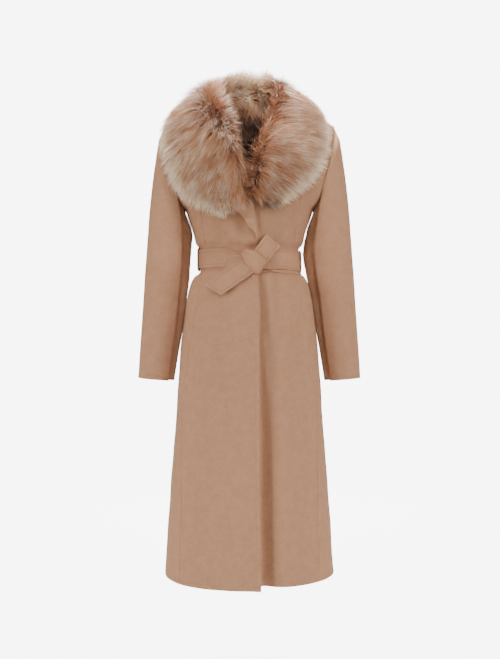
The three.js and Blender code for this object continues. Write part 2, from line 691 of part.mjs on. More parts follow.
// A collar half: a plump roll of fur skinned over its sections, then fitted to what it lies on.
function collarHalf(table, side) {
  const around = 20;
  const steps = 22;
  const line = (x, y, z) =>
    new THREE.CatmullRomCurve3(table.map((row) => new THREE.Vector3(side * row[x], row[y], row[z])));
  const inner = line("ix", "iy", "iz");
  const outer = line("ox", "oy", "oz");
  const rows = table.map((row, place) => ({ ...row, place }));
  const middleAt = (t) => inner.getPoint(t).add(outer.getPoint(t)).multiplyScalar(0.5);
  const rings = Array.from({ length: steps + 1 }, (_, i) => {
    const t = i / steps;
    const half = outer.getPoint(t).sub(inner.getPoint(t)).multiplyScalar(0.5);
    const ahead = middleAt(Math.min(1, t + 0.01)).sub(middleAt(Math.max(0, t - 0.01)));
    if (i === 0) ahead.set(side, 0, 0);
    const normal = ahead.cross(half).multiplyScalar(-side).normalize();
    const place = t * (table.length - 1);
    const top = column(rows, "top", place, "place");
    const under = column(rows, "under", place, "place");
    return Array.from({ length: around }, (_, j) => {
      const turn = (2 * Math.PI * j * side) / around;
      const rise = Math.sin(turn) > 0 ? top : under;
      return middleAt(t)
        .addScaledVector(half, Math.cos(turn))
        .addScaledVector(normal, rise * Math.sin(turn));
    });
  });
  rings[0].forEach((p) => (p.x = -side * 3));
  return solidFrom(skinOver(rings))
    .subtract(solidFrom(torsoForm()))
    .subtract(solidFrom(sleeveForm(side)))
    .subtract(solidFrom(lapel(FUR_CLEAR)))
    .subtract(solidFrom(beyondSplit(side)));
}

// A geometry on the wearer's left (side 1) or its mirror image on the right (side -1).
function mirrored(geometry, side) {
  const places = geometry.clone().scale(side, 1, 1).attributes.position.array;
  return geometryOf([...places], [...geometry.index.array]);
}

function solidFrom(geometry) {
  const bare = mergeVertices(geometry, 1e-3);
  return new wasm.Manifold(
    new wasm.Mesh({
      numProp: 3,
      vertProperties: new Float32Array(bare.attributes.position.array),
      triVerts: new Uint32Array(bare.index.array),
    }),
  );
}
function geometryFrom(solid) {
  const mesh = solid.getMesh();
  const positions = [];
  for (let i = 0; i < mesh.numVert; i++)
    positions.push(...mesh.vertProperties.subarray(i * mesh.numProp, i * mesh.numProp + 3));
  return geometryOf(positions, [...mesh.triVerts]);
}

// The whole coat, one mesh for each cut piece.
const COLOURS = { wool: "#b5927c", fur: "#b48d70" };
const wool = new THREE.MeshStandardMaterial({ color: COLOURS.wool, roughness: 0.9, metalness: 0 });
const fur = new THREE.MeshStandardMaterial({ color: COLOURS.fur, roughness: 1, metalness: 0 });
const coat = new THREE.Group();
function add(name, geometry, material = wool) {
  const mesh = new THREE.Mesh(geometry, material.clone());
  mesh.name = name;
  coat.add(mesh);
}
// The largest solid of a cut, without slivers that the cut leaves.
function mainBody(solid) {
  const bodies = solid.decompose().sort((a, b) => b.volume() - a.volume());
  return geometryFrom(bodies[0]);
}

for (const [name, piece] of Object.entries(PANELS)) add(name, panel(piece));
for (const [side, sign] of [["left", 1], ["right", -1]]) {
  for (const [name, piece] of Object.entries(SLEEVE_PIECES))
    add(name + "_" + side, sleevePiece(piece, sign));
  add("belt_loop_" + side, beltLoop(sign));
}

add("lapel_right", lapel());
add("collar_left", mainBody(collarHalf(COLLAR, 1)), fur);
add("collar_right", mainBody(collarHalf(COLLAR_RIGHT, -1)), fur);
add("belt_band", beltBand());
add("belt_knot", knot());
add("belt_tail", mainBody(clearOfKnot(strip(BELT_TAIL, BELT_THICKNESS, 8))));
add("belt_end", mainBody(clearOfKnot(strip(BELT_END, BELT_THICKNESS, 5))));
add("belt_fold", mainBody(clearOfKnot(strip(BELT_FOLD, BELT_THICKNESS, 6))));

export default coat;
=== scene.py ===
"""A belted long coat of double-faced wool with a wide fur collar, in its hollow worn form.

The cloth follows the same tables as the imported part, in millimetres, with finer folds, seams and stitches.
"""

import math

import bmesh
import bpy
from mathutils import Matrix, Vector
import numpy as np


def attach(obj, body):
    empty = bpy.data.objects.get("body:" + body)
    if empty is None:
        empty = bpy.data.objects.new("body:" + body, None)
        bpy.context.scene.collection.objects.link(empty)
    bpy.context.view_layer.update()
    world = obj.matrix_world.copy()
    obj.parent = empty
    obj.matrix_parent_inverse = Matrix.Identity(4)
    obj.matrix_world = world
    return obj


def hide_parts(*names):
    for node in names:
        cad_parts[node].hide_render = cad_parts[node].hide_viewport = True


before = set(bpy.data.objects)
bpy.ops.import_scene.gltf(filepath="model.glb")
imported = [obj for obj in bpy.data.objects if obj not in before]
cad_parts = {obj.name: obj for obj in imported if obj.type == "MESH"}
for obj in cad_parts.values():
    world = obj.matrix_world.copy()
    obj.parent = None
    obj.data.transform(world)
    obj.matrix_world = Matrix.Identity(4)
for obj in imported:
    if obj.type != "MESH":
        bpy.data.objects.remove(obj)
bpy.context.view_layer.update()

MM = 0.001
FULL_TURN = 6.28
random = np.random.default_rng(11)


def table(names, *rows):
    """A short table with named columns."""
    return dict(zip(names.split(), np.array(rows, float).T))


# Sizes and form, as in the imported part. Here the cloth meets at its seams, where the part leaves 0.3.
CLOTH = 2
BELT_WIDTH = 46
BELT_THICKNESS = 3
BELT_HEIGHT = -379
BELT_TILT = 4
HEM = -1141
NECK_EDGE = -4
OVERLAP_LIFT = 4.1  # of the right front over the left one
OVERLAP_START = (-78, -38)
SHOULDER_POINT = (208, -47)
ARMPIT_POINT = (157, -255)
HEM_RISE = 7
HEM_RANGE = 200
LEFT_DROP = -6
PRINCESS_WIDEST = 0.98  # share of the half width that this seam may reach
PRINCESS_AT_SHOULDER = 0.94
SIDE_PANEL_LEAST = 0.02  # the side panel's narrowest turn, in radians

BODY = table(
    "z half_width front back square",
    (-1160, 207, 181, 180, 2.8),
    (-1060, 201, 176, 175, 2.75),
    (-900, 190, 167, 166, 2.65),
    (-740, 178, 157, 156, 2.55),
    (-600, 169, 146, 148, 2.45),
    (-520, 160, 136, 139, 2.4),
    (-450, 149, 124, 124, 2.35),
    (-419, 136.5, 110, 106, 2.3),
    (-408, 121.5, 96.5, 92.5, 2.3),
    (-398, 121, 96, 92, 2.3),
    (-360, 121, 96, 92, 2.3),
    (-349, 121.5, 96.5, 92.5, 2.3),
    (-337, 131, 109.5, 98, 2.3),
    (-310, 138, 118, 102, 2.3),
    (-275, 150, 124, 106, 2.35),
    (-255, 157, 125, 108, 2.4),
    (-228, 181, 124, 109, 2.45),
    (-190, 203, 119, 108, 2.5),
    (-145, 213, 107, 104, 2.5),
    (-100, 215, 92, 94, 2.4),
    (-68, 213, 80, 84, 2.3),
    (-47, 208, 72, 77, 2.2),
    (-32, 168, 66, 72, 2.2),
    (-17, 124, 61, 67, 2.2),
    (0, 76, 56, 62, 2.2),
)
SLEEVE = table(
    # closer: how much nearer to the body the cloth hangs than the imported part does
    "outer_x outer_z inner_x inner_z depth middle_y left_pull closer",
    (221.5, -79, 157.4, -262, 74, 0, 0, 0),
    (230, -124, 153.5, -280, 71, 0, 0, 4),
    (238, -182, 147, -300, 65, 1, 1, 4.5),
    (245, -242, 143, -318, 60, 3, 4, 3),
    (250, -300, 142.5, -338, 57, 4, 8, 0),
    (254, -360, 144.5, -369, 55, 4, 12, 0),
    (258, -415, 149.5, -416, 54, 2, 8.5, 2),
    (261, -475, 158, -477, 51, -3, 3, 3.4),
    (264.5, -540, 167, -543, 49, -10, 1, 4),
    (268, -605, 176.5, -610, 46, -18, 0, 2.5),
    (270.5, -664, 183, -671, 44, -27, 0, 0),
)
SLEEVE["place"] = np.arange(len(SLEEVE["depth"]), dtype=float)
SLEEVE_SQUARE = 2.2
FRONT_SEAM, BACK_SEAM = (122, 136), (236, 228)  # degrees round the sleeve, at its head and at its cuff
RIGHT_EDGE = table(
    "z x", (-1160, 26), (-900, 23), (-560, 21), (-379, 19), (-330, 20),
    (-275, 13), (-200, -2), (-130, -18), (-60, -42), (0, -66),
)
LEFT_EDGE = table(
    "z x", (-1160, -34), (-560, -34), (-379, -32), (-300, -22),
    (-200, 8), (-130, 24), (-60, 44), (0, 66),
)
PRINCESS = table(
    "z x", (-1160, 163), (-960, 159), (-840, 160), (-720, 158), (-600, 143), (-500, 127),
    (-448, 119), (-379, 103), (-345, 106), (-270, 116), (-200, 124), (-120, 132),
    (-60, 138), (-47, 138), (-17, 100), (0, 71),
)
LAPEL = table(
    "z x", (-334, 17.5), (-323, 13.5), (-307, 6), (-292.5, -3.5), (-280, -17),
    (-268, -33), (-252, -52), (-225, -74), (-190, -90),
)
FOLD_COLUMNS = "x0 z0 x1 z1 half rise fade0 fade1"
FOLDS = table(
    FOLD_COLUMNS,
    (44, -560, 54, -1180, 20, -8, 130, 60),
    (27, -420, 31, -520, 11, -5, 4.5, 50),
    (44, -420, 50, -500, 11, 4, 4.5, 60),
    (63, -420, 66, -460, 9, -6, 4.5, 35),
    (84, -420, 92, -480, 11, 4, 4.5, 50),
    (-66, -337, -68, -316, 11, -5, 4.5, 20),
    (-44, -337, -42, -300, 13, 5, 4.5, 28),
    (-12, -337, -12, -310, 13, -6, 4.5, 24),
    (64, -337, 66, -312, 12, -4, 4.5, 26),
    (-124, -420, -134, -480, 8, -3, 4.5, 40),
)
BACK_FOLDS = table(
    FOLD_COLUMNS,
    *[
        row
        for i, x in enumerate((-84, -50, -16, 18, 52, 86))
        for row in (
            (x, -420, x * 1.35, -500 - 30 * (i % 3), 14, -5 if i % 2 else 4, 4.5, 60),
            (x * 0.96, -337, x * 1.05, -300 + 8 * (i % 2), 13, 4 if i % 2 else -4, 4.5, 30),
        )
    ],
)


def smooth(t):
    """From 0 to 1 with level ends."""
    t = np.clip(t, 0, 1)
    return t * t * (3 - 2 * t)


def ramp(at, start, end):
    """Smoothly from 0 at the start to 1 at the end."""
    return smooth((at - start) / (end - start))


def bell(at, middle, half):
    """A soft hill of height 1 round its middle."""
    return np.exp(-(((at - middle) / half) ** 2))


def hump(distance, radius):
    """A quarter round that rises from an edge to a height of 1."""
    return np.sqrt(np.clip(1 - np.clip(1 - distance / radius, 0, 1) ** 2, 0, 1))


def column(rows, key, at, by="z"):
    """Smooth curve through a table's rows, by one of its columns."""
    x, y = rows[by], rows[key]
    if x[-1] < x[0]:
        x, y = x[::-1], y[::-1]
    at = np.clip(at, x[0], x[-1])
    slope = np.empty_like(y)
    slope[1:-1] = (y[2:] - y[:-2]) / (x[2:] - x[:-2])
    slope[0] = (y[1] - y[0]) / (x[1] - x[0])
    slope[-1] = (y[-1] - y[-2]) / (x[-1] - x[-2])
    i = np.clip(np.searchsorted(x, at, side="right") - 1, 0, len(x) - 2)
    span = x[i + 1] - x[i]
    t = (at - x[i]) / span
    return (
        y[i] * (2 * t**3 - 3 * t**2 + 1)
        + y[i + 1] * (3 * t**2 - 2 * t**3)
        + span * (slope[i] * (t**3 - 2 * t**2 + t) + slope[i + 1] * (t**3 - t**2))
    )


def folds_at(x, z, folds):
    """How far the folds move the cloth out at a place."""
    rise = np.zeros(np.broadcast(x, z).shape)
    for k in range(len(folds["x0"])):
        f = {name: values[k] for name, values in folds.items()}
        length = abs(f["z0"] - f["z1"])
        along = (f["z0"] - z) / (f["z0"] - f["z1"])
        before = np.maximum(0, -along) * length / f["fade0"]
        past = np.maximum(before, np.maximum(0, along - 1) * length / f["fade1"])
        middle = f["x0"] + (f["x1"] - f["x0"]) * along
        rise = rise + f["rise"] * np.exp(-(((x - middle) / f["half"]) ** 2) - past**2)
    return rise


def form_point(angle, z):
    """A point of the body's form at an angle from the middle of the front and a height."""
    angle, z = np.broadcast_arrays(np.asarray(angle, float), np.asarray(z, float))
    half = column(BODY, "half_width", z)
    square = column(BODY, "square", z)
    sin, cos = np.sin(angle), np.cos(angle)
    depth = np.where(cos > 0, column(BODY, "front", z), column(BODY, "back", z))
    radius = ((np.abs(sin) / half) ** square + (np.abs(cos) / depth) ** square) ** (-1 / square)
    x = radius * sin
    radius = radius + np.where(cos > 0, folds_at(x, z, FOLDS), folds_at(x, z, BACK_FOLDS))
    return np.stack([radius * sin, -radius * cos, z], -1)


def unit(v):
    return v / np.maximum(1e-9, np.linalg.norm(v, axis=-1, keepdims=True))


def lifted(angle, z, lift):
    """The same point moved out along the form's normal, found from short steps along and up."""
    turn, rise = 0.004, 0.8
    along = form_point(angle + turn, z) - form_point(angle - turn, z)
    up = form_point(angle, np.minimum(z + rise, 0)) - form_point(angle, z - rise)
    return form_point(angle, z) + unit(np.cross(along, up)) * np.asarray(lift)[..., None]


def angle_at(x, z, side="front"):
    """The angle of a place on the front or the back."""
    half, square = column(BODY, "half_width", z), column(BODY, "square", z)
    share = np.minimum(1, np.abs(x) / half)
    depth = column(BODY, side, z) * np.maximum(0, 1 - share**square) ** (1 / square)
    return np.arctan2(x, depth if side == "front" else -depth)


def armhole_share(z):
    """0 at the armpit and 1 at the shoulder."""
    return (z - ARMPIT_POINT[1]) / (SHOULDER_POINT[1] - ARMPIT_POINT[1])


def side_angle(z, side):
    at_side = (z <= ARMPIT_POINT[1]) | (z >= SHOULDER_POINT[1])
    armhole_x = ARMPIT_POINT[0] + armhole_share(z) * (SHOULDER_POINT[0] - ARMPIT_POINT[0])
    return np.where(at_side, math.pi / 2, angle_at(armhole_x, z, side))


# The lines between the panels, as angles at a height.
def right_edge(z):
    return angle_at(column(RIGHT_EDGE, "x", z), z)


def left_edge(z):
    return angle_at(column(LEFT_EDGE, "x", z), z)


def front_side(z):
    return side_angle(z, "front")


def front_side_right(z):
    return -front_side(z)


def back_side(z):
    return side_angle(z, "back")


def back_side_right(z):
    return 2 * math.pi - back_side(z)


def middle_back(z):
    return math.pi + 0 * z


def princess(z):
    share = PRINCESS_WIDEST * np.where(z > SHOULDER_POINT[1], PRINCESS_AT_SHOULDER, 1)
    line = np.minimum(column(PRINCESS, "x", z), share * column(BODY, "half_width", z))
    return np.minimum(angle_at(line, z), front_side(z) - SIDE_PANEL_LEAST)


def princess_right(z):
    return -princess(z)


ARMHOLE_LINES = (front_side, front_side_right, back_side, back_side_right)


# Materials
def linear(colour):
    """A hex colour as it looks on a screen, as the linear values that Blender takes."""
    parts = [int(colour[i : i + 2], 16) / 255 for i in (1, 3, 5)]
    return [c / 12.92 if c <= 0.04045 else ((c + 0.055) / 1.055) ** 2.4 for c in parts] + [1]


def add_node(tree, kind, settings=None, **inputs):
    """Adds a node with its settings; an input, by name or as i and its number, is a value or an output."""
    node = tree.nodes.new(kind)
    for key, value in (settings or {}).items():
        setattr(node, key, value)
    for key, value in inputs.items():
        socket = node.inputs[int(key[1:]) if key[1:].isdigit() else key.replace("_", " ")]
        if isinstance(value, bpy.types.NodeSocket):
            tree.links.new(value, socket)
        else:
            socket.default_value = value
    return node


def new_material(name):
    material = bpy.data.materials.new(name)
    material.use_nodes = True
    material.node_tree.nodes.clear()
    return material, material.node_tree


NAP_FIBRE = 1.6  # mm; real fibres are finer, and this is as coarse as they need to show
NAP_HEIGHT = 0.6
BRUSHED = 0.35  # the nap is brushed down, so it is this much slower along the coat
MOTTLE = 18  # mm between slightly lighter and darker places of the felted cloth
MOTTLE_SHARE = 0.45


def wool_material(name, base, shade):
    """Brushed double-faced wool: matt, with a soft nap, small felted fibres and faint mottling."""
    material, tree = new_material(name)
    place = add_node(tree, "ShaderNodeTexCoord").outputs["Object"]
    brushed = add_node(tree, "ShaderNodeMapping", Vector=place, Scale=(1, 1, BRUSHED)).outputs[0]
    fibre = add_node(
        tree, "ShaderNodeTexNoise", Vector=brushed, Scale=1 / (NAP_FIBRE * MM), Detail=5.0, Roughness=0.65,
    ).outputs["Fac"]
    mottle = add_node(tree, "ShaderNodeTexNoise", Vector=place, Scale=1 / (MOTTLE * MM), Detail=3.0)
    both = add_node(
        tree, "ShaderNodeMath", {"operation": "MULTIPLY_ADD"},
        i0=mottle.outputs["Fac"], i1=MOTTLE_SHARE, i2=fibre,
    )
    share = add_node(
        tree, "ShaderNodeMapRange", Value=both.outputs[0],
        From_Min=MOTTLE_SHARE, From_Max=1.0, To_Min=0.0, To_Max=1.0,
    )
    colour = add_node(
        tree, "ShaderNodeMix", {"data_type": "RGBA"},
        i0=share.outputs[0], i6=linear(shade), i7=linear(base),
    )
    bump = add_node(tree, "ShaderNodeBump", Height=fibre, Strength=0.35, Distance=NAP_HEIGHT * MM)
    shader = add_node(
        tree, "ShaderNodeBsdfPrincipled", Base_Color=colour.outputs[2], Roughness=0.9,
        Normal=bump.outputs[0], IOR=1.5, Specular_IOR_Level=0.12,
        Sheen_Weight=0.12, Sheen_Roughness=0.4, Sheen_Tint=linear("#e6cdb8"),
    )
    add_node(tree, "ShaderNodeOutputMaterial", Surface=shader.outputs[0])
    return material


def fur_material(name):
    """Long soft hair, half glossy, coloured strand by strand by its colour layer."""
    material, tree = new_material(name)
    colour = add_node(tree, "ShaderNodeAttribute", {"attribute_name": "strand_colour"})
    shader = add_node(
        tree, "ShaderNodeBsdfPrincipled", Base_Color=colour.outputs["Color"], Roughness=0.55,
        IOR=1.55, Specular_IOR_Level=0.2, Sheen_Weight=0.12, Sheen_Tint=linear("#f0cfae"),
    )
    add_node(tree, "ShaderNodeOutputMaterial", Surface=shader.outputs[0])
    return material


# Wool cloth, brushed after weaving: the nap hides the weave and gives an even, matt tan.
wool = wool_material("double_faced_wool", "#bb8d6e", "#a7795b")
# Spun sewing thread: as matt as the cloth and a little darker, so that the stitches just show.
thread = wool_material("sewing_thread", "#ad7f60", "#946a4c")
# Fur: each hair catches a soft light, dark at its root and pale at its tip.
fur = fur_material("long_fur")
# The tanned hide under the hair: matt and dark, as painted shade in the gaps between hairs, so that they
# look deep.
pelt = wool_material("fur_backing", "#5e402f", "#3d2a20")
# Viscose lining: dark brown and matt, without its sheen; its dark colour is painted shade for the inside of
# the neck.
lining = wool_material("viscose_lining_painted_shade", "#3a2b24", "#2b1f1a")


# Meshes
def make_piece(name, points, faces, material, colours=None):
    """A mesh object from points in millimetres and faces that all have the same corners."""
    points = np.asarray(points, float).reshape(-1, 3)
    faces = np.asarray(faces, np.int32)
    mesh = bpy.data.meshes.new(name)
    mesh.vertices.add(len(points))
    mesh.vertices.foreach_set("co", (points * MM).ravel())
    mesh.loops.add(faces.size)
    mesh.loops.foreach_set("vertex_index", faces.ravel())
    mesh.polygons.add(len(faces))
    starts = np.arange(0, faces.size, faces.shape[1], dtype=np.int32)
    mesh.polygons.foreach_set("loop_start", starts)
    mesh.update(calc_edges=True)
    mesh.validate()
    if colours is not None:
        layer = mesh.color_attributes.new("strand_colour", "FLOAT_COLOR", "POINT")
        layer.data.foreach_set("color", np.asarray(colours, np.float32).ravel())
    return place_mesh(name, mesh, material)


def place_mesh(name, mesh, material):
    mesh.shade_smooth()
    mesh.materials.append(material)
    piece = bpy.data.objects.new(name, mesh)
    bpy.context.scene.collection.objects.link(piece)
    return piece


def grid_faces(rows, cols, start=0, flip=False):
    i, j = np.meshgrid(np.arange(rows - 1), np.arange(cols - 1), indexing="ij")
    a = start + i * cols + j
    quads = np.stack([a, a + 1, a + cols + 1, a + cols], -1).reshape(-1, 4)
    return quads[:, ::-1] if flip else quads


def tube_faces(rows, sides):
    """The faces of a tube of closed rings."""
    i, j = np.meshgrid(np.arange(rows - 1), np.arange(sides), indexing="ij")
    a, b = i * sides + j, i * sides + (j + 1) % sides
    return np.stack([a, a + sides, b + sides, b], -1).reshape(-1, 4)


def shell(name, outer, inner, material):
    """A closed shell of cloth: an outer and an inner grid that meet along their edges."""
    rows, cols = outer.shape[:2]
    points = np.concatenate([outer.reshape(-1, 3), inner.reshape(-1, 3)])
    count = rows * cols
    under = count + np.arange(count).reshape(rows, cols)
    rim = np.ones((rows, cols), bool)
    rim[1:-1, 1:-1] = False
    under[rim] -= count
    index = np.concatenate([np.arange(count), under.ravel()])
    faces = np.concatenate([grid_faces(rows, cols), grid_faces(rows, cols, count, True)])
    return make_piece(name, points, index[faces], material)


def join_coat(piece, node=None):
    """The piece is part of the coat's one body, in place of its plain solid where it has one."""
    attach(piece, "root")
    if node:
        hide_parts(node)
    return piece


def cloth_piece(name, outer, inner, node, material=wool):
    piece = join_coat(shell(name, outer, inner, material), node)


# Cloth panels
EDGE_STEPS = np.array([0, 0.12, 0.4, 0.8, 1.3, 2.2, 4, 6.5, 8, 8.7, 9.2, 9.7, 10.4, 12, 16])
TURN_IN = 9.2  # the double-faced edge is turned in and sewn by hand this far from the edge
NARROW = 60  # a panel narrower than this has its edge rows closer together
WAIST_RANGE = (-470, -300)  # the form changes fastest here, so the rows are closest
SKIRT_ROWS, WAIST_ROWS, CHEST_ROWS = 56, 33, 36


def rounded(distance, radius=CLOTH / 2):
    """How far the cloth's faces draw together near a cut edge."""
    return radius * (1 - hump(distance, radius))


def turned_edge(distance):
    """The faint channel and fuller rim of an edge that is turned in."""
    return -0.42 * bell(distance, TURN_IN, 0.75) + 0.3 * bell(distance, TURN_IN / 2, 3.2)


def seam_rim(distance):
    """Cloth pulled down at a seam, with a soft ridge beside it."""
    return -0.5 * bell(distance, 0, 1.6) + 0.35 * bell(distance, 5, 3)


def arc_lengths(points):
    """Distances along each row of points."""
    steps = np.linalg.norm(np.diff(points, axis=1), axis=2)
    return np.concatenate([np.zeros((len(points), 1)), np.cumsum(steps, 1)], 1)


def spread(width, inner_steps):
    """Places across a panel, close together near both edges, as distances from the first edge."""
    near = EDGE_STEPS[None, :] * np.minimum(1, width / NARROW)[:, None]
    middle = np.linspace(0, 1, inner_steps + 2)[None, 1:-1]
    last = near[:, -1:]
    between = last + (width[:, None] - 2 * last) * middle
    return np.concatenate([near, between, width[:, None] - near[:, ::-1]], 1)


def panel_rows(bottom, top):
    low, (waist_low, waist_high) = bottom + EDGE_STEPS, WAIST_RANGE
    skirt = np.linspace(low[-1], waist_low, SKIRT_ROWS)[1:-1]
    waist = np.linspace(waist_low, waist_high, WAIST_ROWS)
    chest = np.linspace(waist_high, top - 6, CHEST_ROWS)[1:]
    return np.concatenate([low, skirt, waist, chest, [top - 1, top - 0.3, top]])


def overlap_lift(x):
    return OVERLAP_LIFT * ramp(x, *OVERLAP_START)


def upper_lift(x, z):
    """The right front lies over the left one at every height."""
    return overlap_lift(x)


LIP = 5.5  # the right front's edge stands this far off the left one, below the belt
LIP_REACH = 17
LIP_START = (-410, -500)
# The left front falls in beside that edge: just below the belt, and at the low end.
TROUGH = {"depth": (5, 18), "away": (3, 12), "half": (4.5, 11.5)}
TROUGH_HEIGHTS = (-430, -910)
CHEST_TROUGH = 0.6  # its share above the belt


def stand_off(distance, z):
    return LIP * bell(distance, 0, LIP_REACH) * ramp(z, *LIP_START)


def trough(x, z):
    """The soft fold of the left front beside the right front's edge."""
    beside = x - column(RIGHT_EDGE, "x", z)
    low = ramp(z, *TROUGH_HEIGHTS)
    depth, away, half = (a + (b - a) * low for a, b in TROUGH.values())
    above_belt = ramp(z, -345, -305) * ramp(z, -190, -230)
    return -depth * (ramp(z, -404, -444) + CHEST_TROUGH * above_belt) * bell(beside, away, half)


HEAD_RISE = 10  # the cloth rises this far to the armhole seam, in one sweep with the sleeve
HEAD_REACH = 30
HEAD_FULLNESS = 0.7


def head_rise(z):
    return HEAD_RISE * np.sin(math.pi * np.clip(armhole_share(z), 0, 1)) ** HEAD_FULLNESS


def hemmed(z, angle, drop):
    near = smooth(1 - (z - HEM) / HEM_RANGE)
    return z + near * (HEM_RISE * np.sin(angle) ** 2 - drop)


WAVES = table(
    "round_rate height_rate start",
    (0.0113, 0.0061, 0.4), (0.0072, -0.0093, 1.7), (0.0191, 0.0034, 2.9),
)
WAVE_RISE = 0.35
WAVE_RADIUS = 150


def nap_waves(angle, z):
    """Slight unevenness of thick cloth that hangs, away from the belt."""
    arc = angle * WAVE_RADIUS
    away = ramp(np.abs(z - BELT_HEIGHT), 30, 90)
    waves = [np.sin(arc * a * FULL_TURN + z * b * FULL_TURN + c) for a, b, c in zip(*WAVES.values())]
    return away * sum(WAVE_RISE * wave for wave in waves)


def panel(name, node, lines, inner_steps, lift=None, drop=(0, 0), free=(False, False)):
    """A panel of the body between two lines; drop and free have a value for each, and free isn't sewn."""
    rows = panel_rows(HEM, NECK_EDGE)
    start, end = (line(rows) for line in lines)
    samples = start[:, None] + (end - start)[:, None] * np.linspace(0, 1, 81)[None, :]
    arc = arc_lengths(form_point(samples, rows[:, None]))
    places = spread(arc[:, -1], inner_steps)
    angle = np.stack([np.interp(p, a, s) for p, a, s in zip(places, arc, samples)])
    z = hemmed(rows[:, None], angle, drop[0] + (drop[1] - drop[0]) * places / arc[:, -1:])
    from_sides = (places, arc[:, -1:] - places)
    from_hem = (rows - HEM)[:, None] + 0 * places
    nearest = np.minimum(np.minimum(*from_sides), np.minimum(from_hem, (NECK_EDGE - rows)[:, None]))
    extra = turned_edge(from_hem)
    for is_free, distance in zip(free, from_sides):
        extra = extra + (turned_edge(distance) if is_free else seam_rim(distance))
    if lift is upper_lift:
        extra = extra + stand_off(from_sides[1], z)
    for line, distance in zip(lines, from_sides):
        if line in ARMHOLE_LINES:
            extra = extra + head_rise(rows)[:, None] * bell(distance, 0, HEAD_REACH)
    base = lift(form_point(angle, rows[:, None])[..., 0], z) if lift else 0
    base = base + extra + nap_waves(angle, z)
    pull = rounded(nearest)
    outer = lifted(angle, z, base - pull)
    inner = lifted(angle, z, base - CLOTH + pull)
    cloth_piece(name, outer, inner, node)


panel("front_right_cloth", "front_right", (princess_right, right_edge), 24,
      lift=upper_lift, free=(False, True))
panel("front_left_cloth", "front_left", (left_edge, princess), 38,
      lift=trough, drop=(LEFT_DROP, LEFT_DROP), free=(True, False))
panel("side_front_right_cloth", "side_front_right", (front_side_right, princess_right), 12)
panel("side_front_left_cloth", "side_front_left", (princess, front_side), 12, drop=(LEFT_DROP, 0))
panel("back_left_cloth", "back_left", (back_side, middle_back), 24)
panel("back_right_cloth", "back_right", (middle_back, back_side_right), 24)

# The lining of the upper back, which shows in the neck; its dark colour is painted shade.
LINING_RANGE = (-290, -5)
LINING_DEEP = 4.3  # from the outside of the wool to the lining
LINING_THICKNESS = 0.8
LINING_INSET = 0.06  # radians from the side seams
LINING_EASE = 0.5  # the small folds of its ease beside the middle of the back
LINING_WIDTH = 400


def back_lining():
    z = np.linspace(*LINING_RANGE, 36)[:, None]
    start = back_side(z) + LINING_INSET
    share = np.linspace(0, 1, 64)[None, :]
    angle = start + (2 * math.pi - 2 * start) * share
    from_sides = np.minimum(share, 1 - share) * LINING_WIDTH
    from_ends = np.minimum(z - LINING_RANGE[0], LINING_RANGE[1] - z)
    pull = rounded(np.minimum(from_sides, from_ends), LINING_THICKNESS / 2)
    ease = LINING_EASE * np.sin(angle * 23) * bell(angle, math.pi, 0.5)
    outer = lifted(angle, z, ease - LINING_DEEP - pull)
    inner = lifted(angle, z, ease - LINING_DEEP - LINING_THICKNESS + pull)
    cloth_piece("back_lining", outer, inner, None, lining)


back_lining()

BINDING_TURNS = (0.55 * math.pi, 1.45 * math.pi)
BINDING_PLACE = (-6.0, -1.6)  # its height, and how far out of the wool's face its middle is
BINDING_HALF = (3.6, 6.4)
BINDING_STEPS, BINDING_SIDES = 90, 16


def neck_binding():
    """A narrow dark binding over the edge of the back neck, where the collar is sewn on; its dark colour is
    painted shade.
    """
    along = np.linspace(0, 1, BINDING_STEPS)
    height, lift = (np.full(BINDING_STEPS, value) for value in BINDING_PLACE)
    middle = lifted(np.linspace(*BINDING_TURNS, BINDING_STEPS), height, lift)
    up = np.array([0.0, 0.0, 1.0])
    out = unit(np.cross(unit(np.gradient(middle, axis=0)), up))
    turns = np.linspace(0, 2 * math.pi, BINDING_SIDES + 1)[:-1]
    # it closes roundly at both ends
    size = np.sqrt(np.clip(1 - (2 * along - 1) ** 40, 0.001, 1))[:, None, None]
    waves = (np.cos(turns), np.sin(turns))
    wide, tall = (half * wave[None, :, None] for half, wave in zip(BINDING_HALF, waves))
    tube = middle[:, None] + (out[:, None] * wide + up * tall) * size
    faces = tube_faces(BINDING_STEPS, BINDING_SIDES)[:, ::-1]
    join_coat(make_piece("neck_binding", tube, faces, lining))


neck_binding()

# Sleeves
ARMHOLE_CLEAR = 0.1
STEP_LENGTH = 64  # of the sleeve from row to row of its table
HEAD_STEP = 42
HEAD_START = 3


def armhole_ring(turns, lift):
    """The sleeve's head, on the body's armhole."""
    middle = (SHOULDER_POINT[1] + ARMPIT_POINT[1]) / 2
    height = (SHOULDER_POINT[1] - ARMPIT_POINT[1]) / 2
    z = middle + height * np.cos(turns)
    front = np.sin(turns) > 0
    angle = np.where(front, side_angle(z, "front"), side_angle(z, "back"))
    edge = lifted(angle, z, head_rise(z))
    tilt = math.atan2(SHOULDER_POINT[0] - ARMPIT_POINT[0], SHOULDER_POINT[1] - ARMPIT_POINT[1])
    return np.stack([
        edge[..., 0] + ARMHOLE_CLEAR + lift * np.cos(turns) * math.sin(tilt),
        np.where(front, -1, 1) * np.abs(edge[..., 1]) - lift * np.sin(turns),
        z + lift * np.cos(turns) * math.cos(tilt),
    ], -1)


